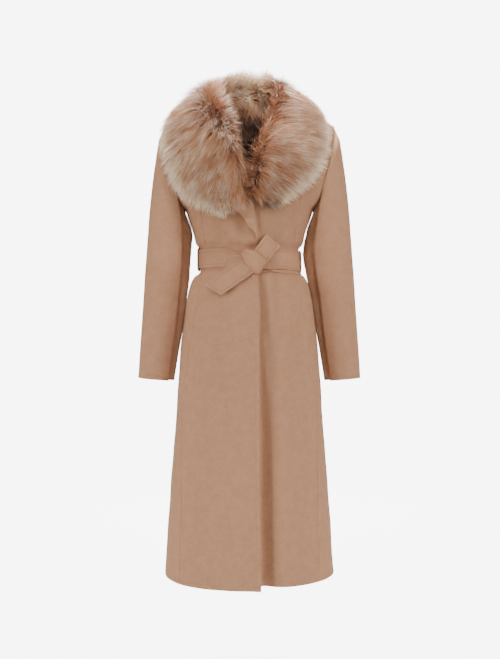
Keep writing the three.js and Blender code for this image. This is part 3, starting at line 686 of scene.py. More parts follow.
def sleeve_ring(turns, place, lift, side):
    get = lambda key: column(SLEEVE, key, place, "place")
    pull = np.maximum(get("left_pull") if side > 0 else 0, get("closer"))
    zero = np.zeros_like(place)
    outer = np.stack([get("outer_x"), get("middle_y") + zero, get("outer_z")], -1)
    inner = np.stack([get("inner_x") - pull, get("middle_y") + zero, get("inner_z")], -1)
    half = (outer - inner) / 2
    reach = np.linalg.norm(half, axis=-1) + lift
    depth = get("depth") + lift
    c, s = np.cos(turns), np.sin(turns)
    square = SLEEVE_SQUARE
    radius = ((np.abs(c) / reach) ** square + (np.abs(s) / depth) ** square) ** (-1 / square)
    forward = np.stack([0 * radius, -radius * s, 0 * radius], -1)
    return (outer + inner) / 2 + unit(half) * (radius * c)[..., None] + forward


CREASES = table(  # soft creases: place down the arm, turn round it, length and width, and rise
    "place turn length width rise",
    (4.3, 1.75, 0.5, 0.30, -1.6),
    (4.9, 2.35, 0.5, 0.34, -1.8),
    (5.5, 1.95, 0.45, 0.26, -1.5),
    (3.6, 2.2, 0.5, 0.3, -1.4),
    (4.7, 4.2, 0.6, 0.4, -1.6),
    (5.4, 3.8, 0.5, 0.3, -1.5),
    (1.0, 0.5, 0.7, 0.35, -1.0),
    (1.4, 5.6, 0.7, 0.35, -1.2),
)
CREASE_LENGTH, CREASE_WIDTH = 0.35, 2.6
FALL_IN = 24  # the under sleeve falls in this far behind its front seam
FALL_TURNS = (0, 12, 20, 56)  # degrees behind the seam where that starts, is full, fades and ends


def creases_at(turns, place):
    seam = FRONT_SEAM[0] + (FRONT_SEAM[1] - FRONT_SEAM[0]) * place / SLEEVE["place"][-1]
    behind = np.maximum(np.degrees(turns - np.radians(seam)), 0)
    start, full, fade, end = FALL_TURNS
    rise = -FALL_IN * ramp(behind, start, full) * ramp(behind, end, fade) * ramp(place, 0, 0.7)
    for centre, turn, length, width, depth in zip(*CREASES.values()):
        along = (place - centre + 0.5 * (turns - turn)) / length
        across = np.angle(np.exp(1j * (turns - turn))) / (CREASE_WIDTH * width)
        rise = rise + depth * np.exp(-((along / CREASE_LENGTH) ** 2) - across**2)
    return rise


def sleeve_piece(name, node, side, seams, inner_steps):
    """A sleeve piece between two seams, given in degrees at the armhole and at the cuff."""
    last = SLEEVE["place"][-1]
    places = np.concatenate([np.linspace(0, last - 0.35, 72), last - EDGE_STEPS[:-1][::-1] / STEP_LENGTH])
    full = np.concatenate([[0], places])
    ends = np.stack([np.radians(a + (b - a) * full / last) for a, b in seams], 1)
    samples = ends[:, :1] + (ends[:, 1:] - ends[:, :1]) * np.linspace(0, 1, 81)[None, :]

    def surface(turns, lift):
        hole = armhole_ring(turns[:1], lift[:1])
        rest = sleeve_ring(turns[1:], places[:, None] + 0 * turns[1:], lift[1:], side)
        return np.concatenate([hole, rest])

    arc = arc_lengths(surface(samples, 0 * samples))
    spots = spread(arc[:, -1], inner_steps)
    turns = np.stack([np.interp(p, a, s) for p, a, s in zip(spots, arc, samples)])
    from_cuff = np.concatenate([[last], last - places])[:, None] * STEP_LENGTH
    from_head = np.concatenate([[0], HEAD_START + places * HEAD_STEP])[:, None]
    across = np.minimum(spots, arc[:, -1:] - spots)
    base = seam_rim(across) + turned_edge(from_cuff) + creases_at(turns, full[:, None])
    base = base + 1.1 * bell(from_head, 10, 7) - 0.9 * (from_head < 1)
    pull = rounded(np.minimum(np.minimum(across, from_cuff), from_head))
    outer, inner = surface(turns, base - pull), surface(turns, base - CLOTH + pull)
    if side < 0:
        outer, inner = inner, outer
    mirror = np.array([side, 1, 1])
    cloth_piece(name, outer * mirror, inner * mirror, node)


BACK_BEFORE = tuple(a - 360 for a in BACK_SEAM)
for side_name, side in (("left", 1), ("right", -1)):
    pieces = (("top", (BACK_BEFORE, FRONT_SEAM), 34), ("under", (FRONT_SEAM, BACK_SEAM), 14))
    for part, seams, inner_steps in pieces:
        node = f"sleeve_{part}_{side_name}"
        sleeve_piece(f"{node}_cloth", node, side, seams, inner_steps)

# Strips of cloth: the belt, its ends, the loops and the lapel
STITCH_IN = 6.5  # topstitching runs this far inside the edges of the belt
STITCH_RISE = BELT_THICKNESS / 2 - 0.7  # it lies in its channel, this far from the belt's middle
STRIP_STEPS = np.array([0, 0.15, 0.5, 1.0, 1.6, 2.6, 4.2, 5.5, 6.0, 6.5, 7.0, 7.5, 9, 12])
STRIP_STEP = 4
INNER_RELIEF = 0.4  # the channel's depth on the inside, as a share of the outside's


def curve_through(points, steps):
    """Points evenly along a smooth curve through the given ones."""
    points = np.asarray(points, float)
    knots = np.concatenate([[0], np.cumsum(np.linalg.norm(np.diff(points, axis=0), axis=1))])
    rows = {"at": knots, **{str(k): points[:, k] for k in range(points.shape[1])}}
    at = np.linspace(0, knots[-1], steps)
    return np.stack([column(rows, str(k), at, "at") for k in range(points.shape[1])], -1)


def stitched(distance):
    """The channel that a row of topstitching pulls into thick cloth, and the full rim beside it."""
    return -0.95 * bell(distance, STITCH_IN, 1.2) + 0.5 * bell(distance, 3, 2.2)


def strip_piece(name, middle, across, width, normal, ends):
    """A strip of doubled cloth along a line, topstitched all round; ends says which of them are cut."""
    along = arc_lengths(middle[None])[0]
    least = width.min()
    near = np.concatenate([STRIP_STEPS, np.linspace(14, least - 14, 8), least - STRIP_STEPS[::-1]])
    spot = (near[None, :] / least - 0.5) * width[:, None]
    nearest = width[:, None] / 2 - np.abs(spot)
    from_start = along[:, None] + 0 * spot
    for is_cut, distance in zip(ends, (from_start, along[-1] - from_start)):
        if is_cut:
            nearest = np.minimum(nearest, distance)
    half = BELT_THICKNESS / 2
    shrink, relief = rounded(nearest, half), stitched(nearest)
    base = middle[:, None] + across[:, None] * spot[..., None]
    outer = base + normal[:, None] * (half + relief - shrink)[..., None]
    inner = base + normal[:, None] * (shrink - half - INNER_RELIEF * relief)[..., None]
    flip = np.dot(np.cross(across[0], middle[1] - middle[0]), normal[0]) < 0
    order = slice(None, None, -1) if flip else slice(None)
    piece = shell(f"{name}_cloth", outer[:, order], inner[:, order], wool)
    join_coat(piece, name)


def end_rows(length):
    """Places along a strip, closer together at its free end."""
    middle = np.arange(STRIP_STEP, length - STRIP_STEPS[-1] - STRIP_STEP / 2, STRIP_STEP)
    return np.concatenate([[0.0], middle, length - STRIP_STEPS[::-1]])


STITCH_PITCH, STITCH_LENGTH, STITCH_RADIUS, STITCH_SIDES = 3.6, 2.6, 0.33, 6
STITCH_RINGS = ((-0.5, 0.25), (-0.32, 0.85), (0, 1.0), (0.32, 0.85), (0.5, 0.25))  # place, size
STITCH_ENDS = [(3, 2, 1, 0), (5, 4, 3, 0), (24, 25, 26, 27), (24, 27, 28, 29)]


def stitch_row(points, normals):
    """Spindle-shaped stitches along a line of points on the cloth."""
    along = arc_lengths(points[None])[0]
    centres = np.arange(STITCH_PITCH, along[-1] - STITCH_PITCH / 2, STITCH_PITCH)
    at = lambda s, values: np.stack([np.interp(s, along, values[:, k]) for k in range(3)], -1)
    up = unit(at(centres, normals))
    ahead = unit(at(centres + 0.5, points) - at(centres - 0.5, points))
    side = np.cross(up, ahead)
    rings = []
    for share, swell in STITCH_RINGS:
        sink = 0.28 * STITCH_RADIUS - 0.9 * STITCH_RADIUS * (1 - swell)
        middle = at(centres, points) + ahead * (share * STITCH_LENGTH) + up * sink
        for turn in np.arange(STITCH_SIDES) * 2 * math.pi / STITCH_SIDES:
            rings.append(middle + (side * math.cos(turn) + up * math.sin(turn)) * STITCH_RADIUS * swell)
    points = np.stack(rings, 1)
    count = points.shape[1]
    a = np.arange(count - STITCH_SIDES)
    b = a - a % STITCH_SIDES + (a + 1) % STITCH_SIDES
    faces = np.concatenate([np.stack([a, b, b + STITCH_SIDES, a + STITCH_SIDES], -1), STITCH_ENDS])
    faces = faces[None] + np.arange(len(points))[:, None, None] * count
    return points.reshape(-1, 3), faces.reshape(-1, 4)


def stitches(name, rows):
    points, faces, start = [], [], 0
    for row in rows:
        row_points, row_faces = stitch_row(*row)
        points.append(row_points)
        faces.append(row_faces + start)
        start += len(row_points)
    join_coat(make_piece(name, np.concatenate(points), np.concatenate(faces), thread))


# The belt round the waist, over the step where the right front ends.
KNOT_X = 11
KNOT_OPENING = 0.03  # radians of the belt left open behind the knot, on each side
BELT_CLEAR = 0.9
BELT_DRAWN = 9  # the belt is drawn this much narrower towards the knot
BELT_STEPS = 150
BELT_STEP_DOWN = (5, 40)  # how far past the right front's edge the belt comes down, and over what length


def belt_lift(angle):
    x = form_point(angle, BELT_HEIGHT)[..., 0]
    past = column(RIGHT_EDGE, "x", np.array([BELT_HEIGHT]))[0] + BELT_STEP_DOWN[0]
    over = overlap_lift(x) * (1 - smooth((x - past) / BELT_STEP_DOWN[1]))
    return BELT_CLEAR + np.where(np.cos(angle) < 0, 0, over)


def belt_band():
    start = angle_at(np.array([KNOT_X]), np.array([BELT_HEIGHT]))[0] + KNOT_OPENING
    angle = start + np.linspace(0, 2 * math.pi - 2 * KNOT_OPENING, BELT_STEPS)
    middle = lifted(angle, 0 * angle + BELT_HEIGHT, belt_lift(angle) + BELT_THICKNESS / 2)
    # small waves where the belt is drawn tight
    wave = 0.5 * np.sin(angle * 9 + 1) + 0.35 * np.sin(angle * 17 + 2)
    middle[:, 2] = BELT_HEIGHT - BELT_TILT * np.sin(angle) + wave
    up = np.tile([0.0, 0.0, 1.0], (BELT_STEPS, 1))
    out = unit(np.cross(np.gradient(middle, axis=0), up))
    front_right = (middle[:, 0] < 0) * (middle[:, 1] < 0)
    drawn = BELT_DRAWN * ramp(middle[:, 0], -66, -20) * front_right
    width = BELT_WIDTH - drawn
    middle[:, 2] -= drawn / 2
    strip_piece("belt_band", middle, up, width, out, (False, False))
    lines = [middle + up * (sign * (width / 2 - STITCH_IN))[:, None] + out * STITCH_RISE for sign in (-1, 1)]
    stitches("belt_band_stitches", [(line, out) for line in lines])


belt_band()

UNDER_LAYER_X = (33, 117)
UNDER_LAYER_STEPS = 70
UNDER_TUCK = 3  # it starts this far above the belt's lower edge
SLIT_X = 84  # where a slit opens between the two turns


def belt_under_layer():
    """The belt's second turn, which shows below the first one on the wearer's left."""
    x = np.linspace(*UNDER_LAYER_X, UNDER_LAYER_STEPS)
    angle = angle_at(x, np.full(UNDER_LAYER_STEPS, float(BELT_HEIGHT)))[None, :]
    low_edge = BELT_HEIGHT - BELT_TILT * np.sin(angle) - BELT_WIDTH / 2
    reach = 2 + 7.5 * ramp(x[None, :], 30, 64)
    lower_rim, upper_rim = [0, 0.08, 0.16, 0.24], [0.94, 0.97, 0.99, 1.0]
    share = np.concatenate([lower_rim, np.linspace(0.3, 0.9, 10), upper_rim])[:, None]
    z = low_edge + UNDER_TUCK - (UNDER_TUCK + reach) * (1 - share)
    slit = bell(x[None, :], SLIT_X, 11) * bell(z, low_edge - 2, 1.6)
    full = 0.75 + 3.0 * smooth((low_edge + 0.4 - z) / 3.2)
    thick = full * hump(share, lower_rim[-1]) - 2.2 * slit
    ends = np.minimum(x - x[0], x[-1] - x)[None, :]
    thick = 0.25 + np.maximum(0.15, thick - 0.25) * hump(ends, 2.5)
    outer, inner = lifted(angle, z, thick), lifted(angle, z, 0.2 + 0 * thick)
    cloth_piece("belt_under_layer", outer, inner, None)


belt_under_layer()

STRIPS = {  # x, y and z of the middle, the direction across in x, y and z, and the width
    "belt_tail": [
        (4, -113, -393, 28, -2, -30, 41),
        (-22, -123, -411, 30, -9, -32, 45),
        (-54, -130, -433, 34, -11, -31, 47),
        (-85, -131, -455, 41, -13, -27, 49),
    ],
    "belt_end": [
        (22, -112, -381, 29, 0, -24, 40),
        (34, -114.5, -366, 31, 1, -27, 43),
        (56.5, -115, -337.3, 32, 2, -30, 44),
    ],
    "belt_fold": [
        (0, -106.5, -388, 6, 0, 38, 34),
        (-30, -104.6, -390, 8, 0, 37, 36),
        (-58, -99.6, -391, 9, 0, 37, 38),
    ],
}
ROUGH_STEPS = 60
STRIP_WAVE = 0.8
END_STITCH_POINTS = 12


def belt_strip(name, rows):
    """One of the belt's free ends, from the knot to its cut edge."""
    rough = curve_through(rows, ROUGH_STEPS)
    length = arc_lengths(rough[None, :, :3])[0, -1]
    at = end_rows(length) / length * (ROUGH_STEPS - 1)
    line = np.stack([np.interp(at, np.arange(ROUGH_STEPS), rough[:, k]) for k in range(7)], -1)
    middle, across, width = line[:, :3], unit(line[:, 3:6]), line[:, 6]
    normal = unit(np.cross(np.gradient(middle, axis=0), across))
    normal = normal * np.where(normal[:, 1:2] > 0, -1, 1)
    middle = middle + normal * (STRIP_WAVE * np.sin(np.linspace(0, 5, len(middle))))[:, None]
    strip_piece(name, middle, across, width, normal, (False, True))
    from_end = np.linalg.norm(middle - middle[-1], axis=1)
    keep = from_end >= STITCH_IN
    lines = []
    for sign in (-1, 1):
        edge = middle + across * (sign * (width / 2 - STITCH_IN))[:, None] + normal * STITCH_RISE
        lines.append((edge[keep], normal[keep]))
    last = np.argmin(np.abs(from_end - STITCH_IN))
    spots = np.linspace(-0.5, 0.5, END_STITCH_POINTS)[:, None] * (width[last] - 2 * STITCH_IN)
    end_line = middle[last] + across[last] * spots + normal[last] * STITCH_RISE
    lines.append((end_line, np.tile(normal[last], (END_STITCH_POINTS, 1))))
    stitches(f"{name}_stitches", lines)


for name, rows in STRIPS.items():
    belt_strip(name, rows)

# The knot: a wide wrap of the belt over the gathered core, wider where it comes out at the lower right.
KNOT_SIDES = {  # its outline in x and z
    "lower_left": [(-19.9, -369.8), (-13.5, -386), (-6.5, -398.5), (3.5, -410), (14.5, -418.5)],
    "upper_right": [(0.9, -357.9), (11, -360.5), (20.5, -366.5), (31.5, -375.5), (42.8, -386.2)],
    "upper_left": [(-19.9, -369.8), (-14.5, -362.2), (-7.5, -357.6), (0.9, -357.9)],
    "lower_right": [(14.5, -418.5), (24.5, -416.5), (32.5, -403.5), (39.5, -394), (42.8, -386.2)],
}
KNOT_ROWS, KNOT_COLS = 57, 65
KNOT_BACK = -104.6
KNOT_RISE = 20.5
KNOT_LENGTH = 56
KNOT_WIDTH = (26, 40)  # of the wrap where it goes in and where it comes out
KNOT_CREASES = table(
    "at slope half depth",
    (0.36, 0.5, 0.07, 1.5), (0.62, 0.22, 0.09, 1.3), (0.86, -0.05, 0.06, 1.2),
)
KNOT_SIDE = ((0.35, 0.93), (1.6, 0.8), (4.2, 0.55), (4.6, 0.0))  # how far in, and the share of the height
KNOT_STITCH_IN = 6


def knot_front():
    """The grid of points of the wrap's face, and the place along and across of each."""
    s, w = np.meshgrid(np.linspace(0, 1, KNOT_ROWS), np.linspace(0, 1, KNOT_COLS), indexing="ij")
    low, high = (curve_through(KNOT_SIDES[k], KNOT_ROWS)[:, None] for k in ("lower_left", "upper_right"))
    near, far = (curve_through(KNOT_SIDES[k], KNOT_COLS)[None, :] for k in ("upper_left", "lower_right"))
    S, W = s[..., None], w[..., None]
    corners = (1 - S) * ((1 - W) * low[:1] + W * high[:1]) + S * ((1 - W) * low[-1:] + W * high[-1:])
    flat = (1 - W) * low + W * high + (1 - S) * near + S * far - corners
    width = KNOT_WIDTH[0] + (KNOT_WIDTH[1] - KNOT_WIDTH[0]) * s
    turn_under = hump(s * KNOT_LENGTH, 15) * hump((1 - s) * KNOT_LENGTH, 17)
    crown = 0.62 + 0.38 * hump(np.minimum(w, 1 - w) * width, 11)
    height = KNOT_RISE * (0.16 + 0.84 * turn_under) * crown
    height = height - 1.3 * bell(w * width, KNOT_STITCH_IN, 1.3) + 0.8 * bell(w * width, 2.6, 2)
    for at, slope, half, depth in zip(*KNOT_CREASES.values()):
        height = height - depth * bell(w, at + slope * (s - 0.2), half) * bell(s, 0, 0.55)
    return np.stack([flat[..., 0], KNOT_BACK - height, flat[..., 1]], -1), w, width


def knot():
    front, w, width = knot_front()
    middle = front.reshape(-1, 3).mean(0)
    towards = unit((middle - front) * np.array([1, 0, 1]))
    index = np.arange(KNOT_ROWS * KNOT_COLS).reshape(KNOT_ROWS, KNOT_COLS)
    rim = np.concatenate([index[0, :-1], index[:-1, -1], index[-1, :0:-1], index[:0:-1, 0]])
    points, quads = [front.reshape(-1, 3)], [grid_faces(KNOT_ROWS, KNOT_COLS)]
    last, start = rim, KNOT_ROWS * KNOT_COLS
    # the wrap's edge is rounded and its side goes in under it
    for inward, share in KNOT_SIDE:
        ring = front + towards * inward
        ring[..., 1] = KNOT_BACK + (front[..., 1] - KNOT_BACK) * share
        here = start + np.arange(len(rim))
        points.append(ring.reshape(-1, 3)[rim])
        quads.append(np.stack([last, here, np.roll(here, -1), np.roll(last, -1)], -1))
        last, start = here, start + len(rim)
    points.append(points[-1].mean(0)[None])
    fan = np.stack([last, np.full(len(last), start), np.roll(last, -1)], -1)
    mesh = bpy.data.meshes.new("belt_knot_cloth")
    faces = np.concatenate(quads).tolist() + fan.tolist()
    mesh.from_pydata((np.concatenate(points) * MM).tolist(), [], faces)
    mesh.validate()
    work = bmesh.new()
    work.from_mesh(mesh)
    bmesh.ops.recalc_face_normals(work, faces=work.faces)
    work.to_mesh(mesh)
    work.free()
    piece = join_coat(place_mesh("belt_knot_cloth", mesh, wool), "belt_knot")
    spots = np.array([
        [np.interp(KNOT_STITCH_IN / width[row, 0], w[row], front[row, :, k]) for k in range(3)]
        for row in (int(round(c)) for c in np.linspace(5, KNOT_ROWS - 9, 40))
    ])
    towards_front = np.array([0, -1.0, 0]) + 0 * spots
    stitches("belt_knot_stitches", [(spots + np.array([0, 0.1, 0]), towards_front)])


knot()

# The loops that hold the belt at the side seams.
LOOP_WIDTH = 10
LOOP_HALF = 2.8
LOOP_STEPS = 40
LOOP = (  # x, and z from the belt's middle
    (121.4, 29), (123.8, 27.5), (125.8, 22), (125.9, 0), (125.9, -19), (124.2, -25.5), (121.6, -27.5),
)
LOOP_EDGE = np.array([0, 0.15, 0.5, 1])


def belt_loop(name, side):
    line = curve_through([(side * x, 0, BELT_HEIGHT - side * BELT_TILT + z) for x, z in LOOP], LOOP_STEPS)
    across = np.tile([0.0, 1.0, 0.0], (LOOP_STEPS, 1))
    normal = unit(np.cross(across, np.gradient(line, axis=0)))
    normal = normal * np.where(normal[:, :1] * side < 0, -1, 1)
    spot = np.concatenate([LOOP_EDGE, np.linspace(1.6, LOOP_WIDTH - 1.6, 7), LOOP_WIDTH - LOOP_EDGE[::-1]])
    pull = rounded(np.minimum(spot, LOOP_WIDTH - spot), LOOP_HALF)[None, :]
    base = line[:, None] + across[:, None] * (spot - LOOP_WIDTH / 2)[None, :, None]
    away = normal[:, None] * (LOOP_HALF - pull)[..., None]
    order = slice(None, None, -side)
    outer, inner = (base + away)[:, order], (base - away)[:, order]
    cloth_piece(f"{name}_cloth", outer, inner, name)


for side_name, side in (("left", 1), ("right", -1)):
    belt_loop(f"belt_loop_{side_name}", side)

# The lapel: the right front's turned edge, seen under the fur.
LAPEL_END, LAPEL_TOP = -334, -200
LAPEL_CLEAR = 0.4
LAPEL_SPRING = 18  # its free edge springs this far off the front
LAPEL_WAVE = 27  # that edge waves a little, once in this length


def lapel():
    rows = np.concatenate([LAPEL_END + EDGE_STEPS[:9], np.linspace(LAPEL_END + 10, LAPEL_TOP, 100)])
    ripple = np.sin(rows * 2 * math.pi / LAPEL_WAVE) * smooth((rows - LAPEL_END - 8) / 30)
    starts = angle_at(column(LAPEL, "x", rows) + 2 * ripple, rows)
    rolls = right_edge(rows)
    share = np.concatenate([[0, 0.01, 0.025, 0.05, 0.09], np.linspace(0.14, 0.97, 16), [1.0]])[None, :]
    angle = starts[:, None] + (rolls - starts)[:, None] * share
    width = np.linalg.norm(form_point(rolls, rows) - form_point(starts, rows), axis=1)[:, None] * share
    x = form_point(angle, rows[:, None])[..., 0]
    spring = (LAPEL_SPRING + 2.5 * ripple) * smooth((rows - LAPEL_END) / 34)
    lift = overlap_lift(x) + LAPEL_CLEAR + spring[:, None] * (1 - share) ** 2
    pull = rounded(np.minimum(width, (rows - LAPEL_END)[:, None]))
    outer, inner = (lifted(angle, rows[:, None], lift + away) for away in (CLOTH - pull, pull))
    cloth_piece("lapel_right_cloth", outer, inner, "lapel_right")


lapel()

# The fur collar
COLLAR_COLUMNS = "ix iy iz ox oy oz top under"  # the inner and the outer edge, and the fur over and under
COLLAR = {
    "left": table(
        COLLAR_COLUMNS,
        (0, 46, 83, 0, 124, -98, 46, 16),
        (32, 39, 85, 60, 118, -94, 47, 16),
        (54, 17, 78, 136, 78, -68, 50, 20),
        (57, -18, 60, 184, 10, -60, 50, 26),
        (49, -50, 8, 191, -46, -94, 45, 28),
        (35, -80, -48, 186, -76, -146, 42, 28),
        (15, -114, -108, 162, -100, -198, 40, 26),
        (4, -132, -164, 122, -122, -230, 34, 20),
        (2, -138, -212, 74, -133, -252, 26, 16),
        (2, -139, -246, 26, -138, -266, 14, 10),
    ),
    "right": table(
        COLLAR_COLUMNS,
        (0, 46, 83, 0, 124, -98, 46, 16),
        (32, 39, 85, 60, 118, -94, 47, 16),
        (59, 17, 76, 142, 78, -70, 50, 20),
        (66, -18, 56, 198, 10, -64, 50, 26),
        (56, -50, 4, 216, -44, -96, 46, 28),
        (37, -80, -50, 214, -72, -146, 44, 28),
        (18, -114, -110, 196, -96, -202, 42, 26),
        (4, -133, -168, 160, -116, -246, 36, 22),
        (2, -140, -220, 106, -131, -272, 28, 16),
        (2, -140, -256, 42, -141, -282, 15, 10),
    ),
}
for rows in COLLAR.values():
    rows["place"] = np.linspace(0, 1, len(rows["ix"]))
INNER_EDGE, OUTER_EDGE = ("ix", "iy", "iz"), ("ox", "oy", "oz")
OUTER_FUR = 38  # the hide ends this far inside the fur's outer edge
INNER_FUR = 20
HIDE_SHARE = 0.5  # the hide's thickness, as a share of the fur's
SHOULDER_THINNER = 0.18  # the share it loses on the shoulder
HIDE_END = 0.94
PARTING = {  # where the hair parts, in degrees round the hide from its outer edge
    "left": table(
        "place degrees",
        (0, 110), (0.12, 126), (0.28, 162), (0.42, 186), (0.55, 202), (0.68, 202), (0.78, 182), (1, 178),
    ),
    "right": table(
        "place degrees", (0, 110), (0.12, 116), (0.28, 132), (0.5, 142), (0.66, 168), (0.8, 196), (1, 206),
    ),
}
SWIRLS = random.uniform(-1, 1, (9, 6))
SWIRL_SEED = {"left": 0.0, "right": 2.1}


def edge_point(rows, keys, at):
    return np.stack([column(rows, k, at, "place") for k in keys], -1)


def collar_section(rows, t):
    """Middle, across and outward directions of a section of the hide, with its half width and thickness."""
    ends = lambda at: [edge_point(rows, keys, at) for keys in (INNER_EDGE, OUTER_EDGE)]
    inner, outer = ends(t)
    before, after = ends(np.maximum(0, t - 0.01)), ends(np.minimum(1, t + 0.01))
    ahead = unit(sum(after) - sum(before))
    ahead = np.where(t[..., None] < 0.005, np.array([1.0, 0, 0]), ahead)
    half = np.linalg.norm(outer - inner, axis=-1) / 2
    across = unit(outer - inner)
    out = unit(np.cross(ahead, across))
    cut_outer = np.minimum(OUTER_FUR, 0.55 * half)
    cut_inner = np.minimum(INNER_FUR, 0.3 * half)
    middle = (inner + outer) / 2 + across * ((cut_inner - cut_outer) / 2)[..., None]
    top, under = (column(rows, key, t, "place") for key in ("top", "under"))
    return middle, across, out, ahead, half - (cut_inner + cut_outer) / 2, top, under


def on_shoulder(t):
    return bell(t, 0.24, 0.13)


def hide_point(rows, t, turn):
    middle, across, out, ahead, reach, top, under = collar_section(rows, t)
    c, s = np.cos(turn), np.sin(turn)
    thick = np.where(s > 0, top * (HIDE_SHARE - SHOULDER_THINNER * on_shoulder(t)), under * HIDE_SHARE)
    point = middle + across * (reach * c)[..., None] + out * (thick * s)[..., None]
    normal = unit(across * (c / reach)[..., None] + out * (s / thick)[..., None])
    return point, normal, across, ahead


def mix(a, b, share):
    return a + (b - a) * share[..., None]


def swirl(t, turn, seed):
    """A slow, smooth change of the fur's direction over the collar."""
    total = np.zeros(t.shape + (3,))
    for a, b, c, x, y, z in SWIRLS:
        wave = np.sin(t * (9 + 14 * a) + turn * (1 + 2.4 * b) + FULL_TURN * c + seed)
        total += wave[..., None] * np.array([x, y, z])
    return total / 3


def round_hide(turn):
    """Degrees round the hide from its outer edge, over its top, -90 to 270."""
    return np.degrees(np.mod(turn + math.pi / 2, 2 * math.pi) - math.pi / 2)


def grow(side_name, t, turn, length, wild, steps, curl=0.0):
    """The points of hairs rooted at t along the collar and turn round it, combed as the fur lies."""
    root, normal, across, ahead = hide_point(COLLAR[side_name], t, turn)
    count = len(t)
    turned = round_hide(turn)
    parting = column(PARTING[side_name], "degrees", t, "place") + random.normal(0, 9, count)
    # combed away from the parting, to the outer edge or back into the neck
    comb = np.clip((parting - turned) / 34, -0.8, 1)
    down = ramp(t, 0.55, 0.95)
    edge = bell(turned, 0, 60)
    inside = ramp(turned, 160, 200) * ramp(t, 0.5, 0.3)
    hanging = inside * ramp(turned, 222, 242)  # the lowest hairs inside the neck hang over its seam
    if side_name == "left":
        lean = 0.45 * down - 0.62 * bell(t, 0.62, 0.17)
    else:
        lean = 1.05 * ramp(t, 0.46, 0.76)
        comb = comb * (1 - 0.35 * down)
    middle_back = bell(t, 0, 0.06)
    lean = lean + middle_back * (random.normal(0, 0.4, count) - 0.3)
    gentle = 0.34 * (1 - 0.7 * middle_back)[:, None]
    flow = across * comb[:, None] + ahead * lean[:, None] + swirl(t, turn, SWIRL_SEED[side_name]) * gentle
    noise = random.normal(0, 1, (count, 3)) * wild
    # shorter towards the points, at the parting, at the outer edge, on the shoulder and low in the neck
    length = length * (1 - 0.24 * ramp(t, 0.7, 0.96)) * (0.86 + 0.14 * np.abs(comb))
    length = length * (1 - 0.26 * edge) * np.where(comb < 0, 0.7 + 0.3 * inside, 1)
    outside = 1 - inside
    length = length * (1 - 0.14 * on_shoulder(t) * outside) * (1 - 0.4 * ramp(turned, 214, 254) * outside)
    upright = (0.78 + 0.32 * (1 - np.abs(comb)) - 0.12 * edge) * (1 - 0.62 * inside)
    upright = upright - 0.22 * on_shoulder(t) * outside
    bend = unit(np.cross(normal, flow))
    phase = random.uniform(0, FULL_TURN, count)[:, None]
    rate = random.uniform(4.0, 8.0, count)[:, None]
    points = [root]
    for step in range(1, steps):
        s = step / (steps - 1)
        fall = np.array([0, 0, -1.0]) * (0.06 + 0.34 * s * s + hanging * (0.2 + 1.1 * s))[:, None]
        way = normal * (upright - 0.5 * s)[:, None] + flow * (0.5 + 0.55 * s) + fall
        way = way + noise * (0.3 + 0.7 * s) + bend * curl * np.sin(phase + rate * s)
        points.append(points[-1] + unit(way) * (length / (steps - 1))[:, None])
    return np.stack(points, 1), normal


def roots(count, rows):
    """Roots spread evenly over the hide's area, thinner where they are out of sight."""
    t = random.uniform(0, HIDE_END, count * 9)
    turn = random.uniform(-0.5 * math.pi, 1.5 * math.pi, count * 9)
    reach, top = (collar_section(rows, t)[k] for k in (4, 5))
    round_it = np.hypot(reach * np.sin(turn), top * HIDE_SHARE * np.cos(turn))
    along = np.clip(t, 0.02, 0.98)
    inner, outer = (
        np.linalg.norm(edge_point(rows, keys, along + 0.02) - edge_point(rows, keys, along - 0.02), axis=1)
        for keys in (INNER_EDGE, OUTER_EDGE)
    )
    area = round_it * (inner + (outer - inner) * (1 + np.cos(turn)) / 2)
    under = np.sin(turn) < 0
    inside = under & (np.cos(turn) < 0.4) & (t < 0.42)
    seen = np.where(inside, 0.9, np.where(under, 0.4 * (1 + np.sin(turn)) ** 0.5, 1.0))
    weight = area * seen
    keep = random.uniform(0, 1, len(t)) < weight / np.quantile(weight, 0.98)
    return t[keep][:count], turn[keep][:count]


LOCK_ALONG, LOCK_ROUND = 620, 56  # mm along the collar, and per radian round it


def nearest_lock(t, turn, lock_t, lock_turn):
    """The lock of hair that each root belongs to."""
    best = np.zeros(len(t), int)
    for part in np.array_split(np.arange(len(t)), 60):
        along, across = (t[part, None] - lock_t) * LOCK_ALONG, (turn[part, None] - lock_turn) * LOCK_ROUND
        best[part] = (along**2 + across**2).argmin(1)
    return best


ROOT_COLOUR, MIDDLE_COLOUR, RUST_COLOUR, TIP_COLOUR = (
    np.array(linear(c)[:3]) for c in ("#4a2a1b", "#b0744b", "#96552f", "#ffe9c8")
)


def ribbons(points, normal, wide):
    """Hairs as narrow tapering ribbons, rolled a little at random, with normals that lean out of the fur."""
    count, steps = points.shape[:2]
    ahead = unit(np.gradient(points, axis=1))
    roll = random.normal(0, 0.6, count)[:, None, None]
    across = unit(np.cross(ahead, normal[:, None]))
    across = across * np.cos(roll) + np.cross(ahead, across) * np.sin(roll)
    s = np.linspace(0, 1, steps)[None, :, None]
    half = wide[:, None, None] * (0.08 + 0.92 * (1 - s**2.0)) * 0.5
    flat = unit(np.cross(across, ahead))
    flat = flat * np.sign((flat * normal[:, None]).sum(-1, keepdims=True) + 1e-9)
    outward = (ahead * normal[:, None]).sum(-1, keepdims=True)
    soft = unit(flat * 0.55 + normal[:, None] * 0.75 - ahead * 0.25 * outward)
    both = np.stack([points - across * half, points + across * half], 2)
    base = (np.arange(count) * steps * 2)[:, None, None]
    first = (np.arange(steps - 1) * 2)[None, :, None]
    faces = base + first + np.array([0, 1, 3, 2])[None, None, :]
    out = (np.cross(points[:, 1] - points[:, 0], across[:, 0]) * normal).sum(-1) < 0
    faces = np.where(out[:, None, None], faces, faces[..., ::-1])
    soft = np.repeat(soft[:, :, None], 2, axis=2)
    return both.reshape(-1, 3), faces.reshape(-1, 4), soft.reshape(-1, 3)


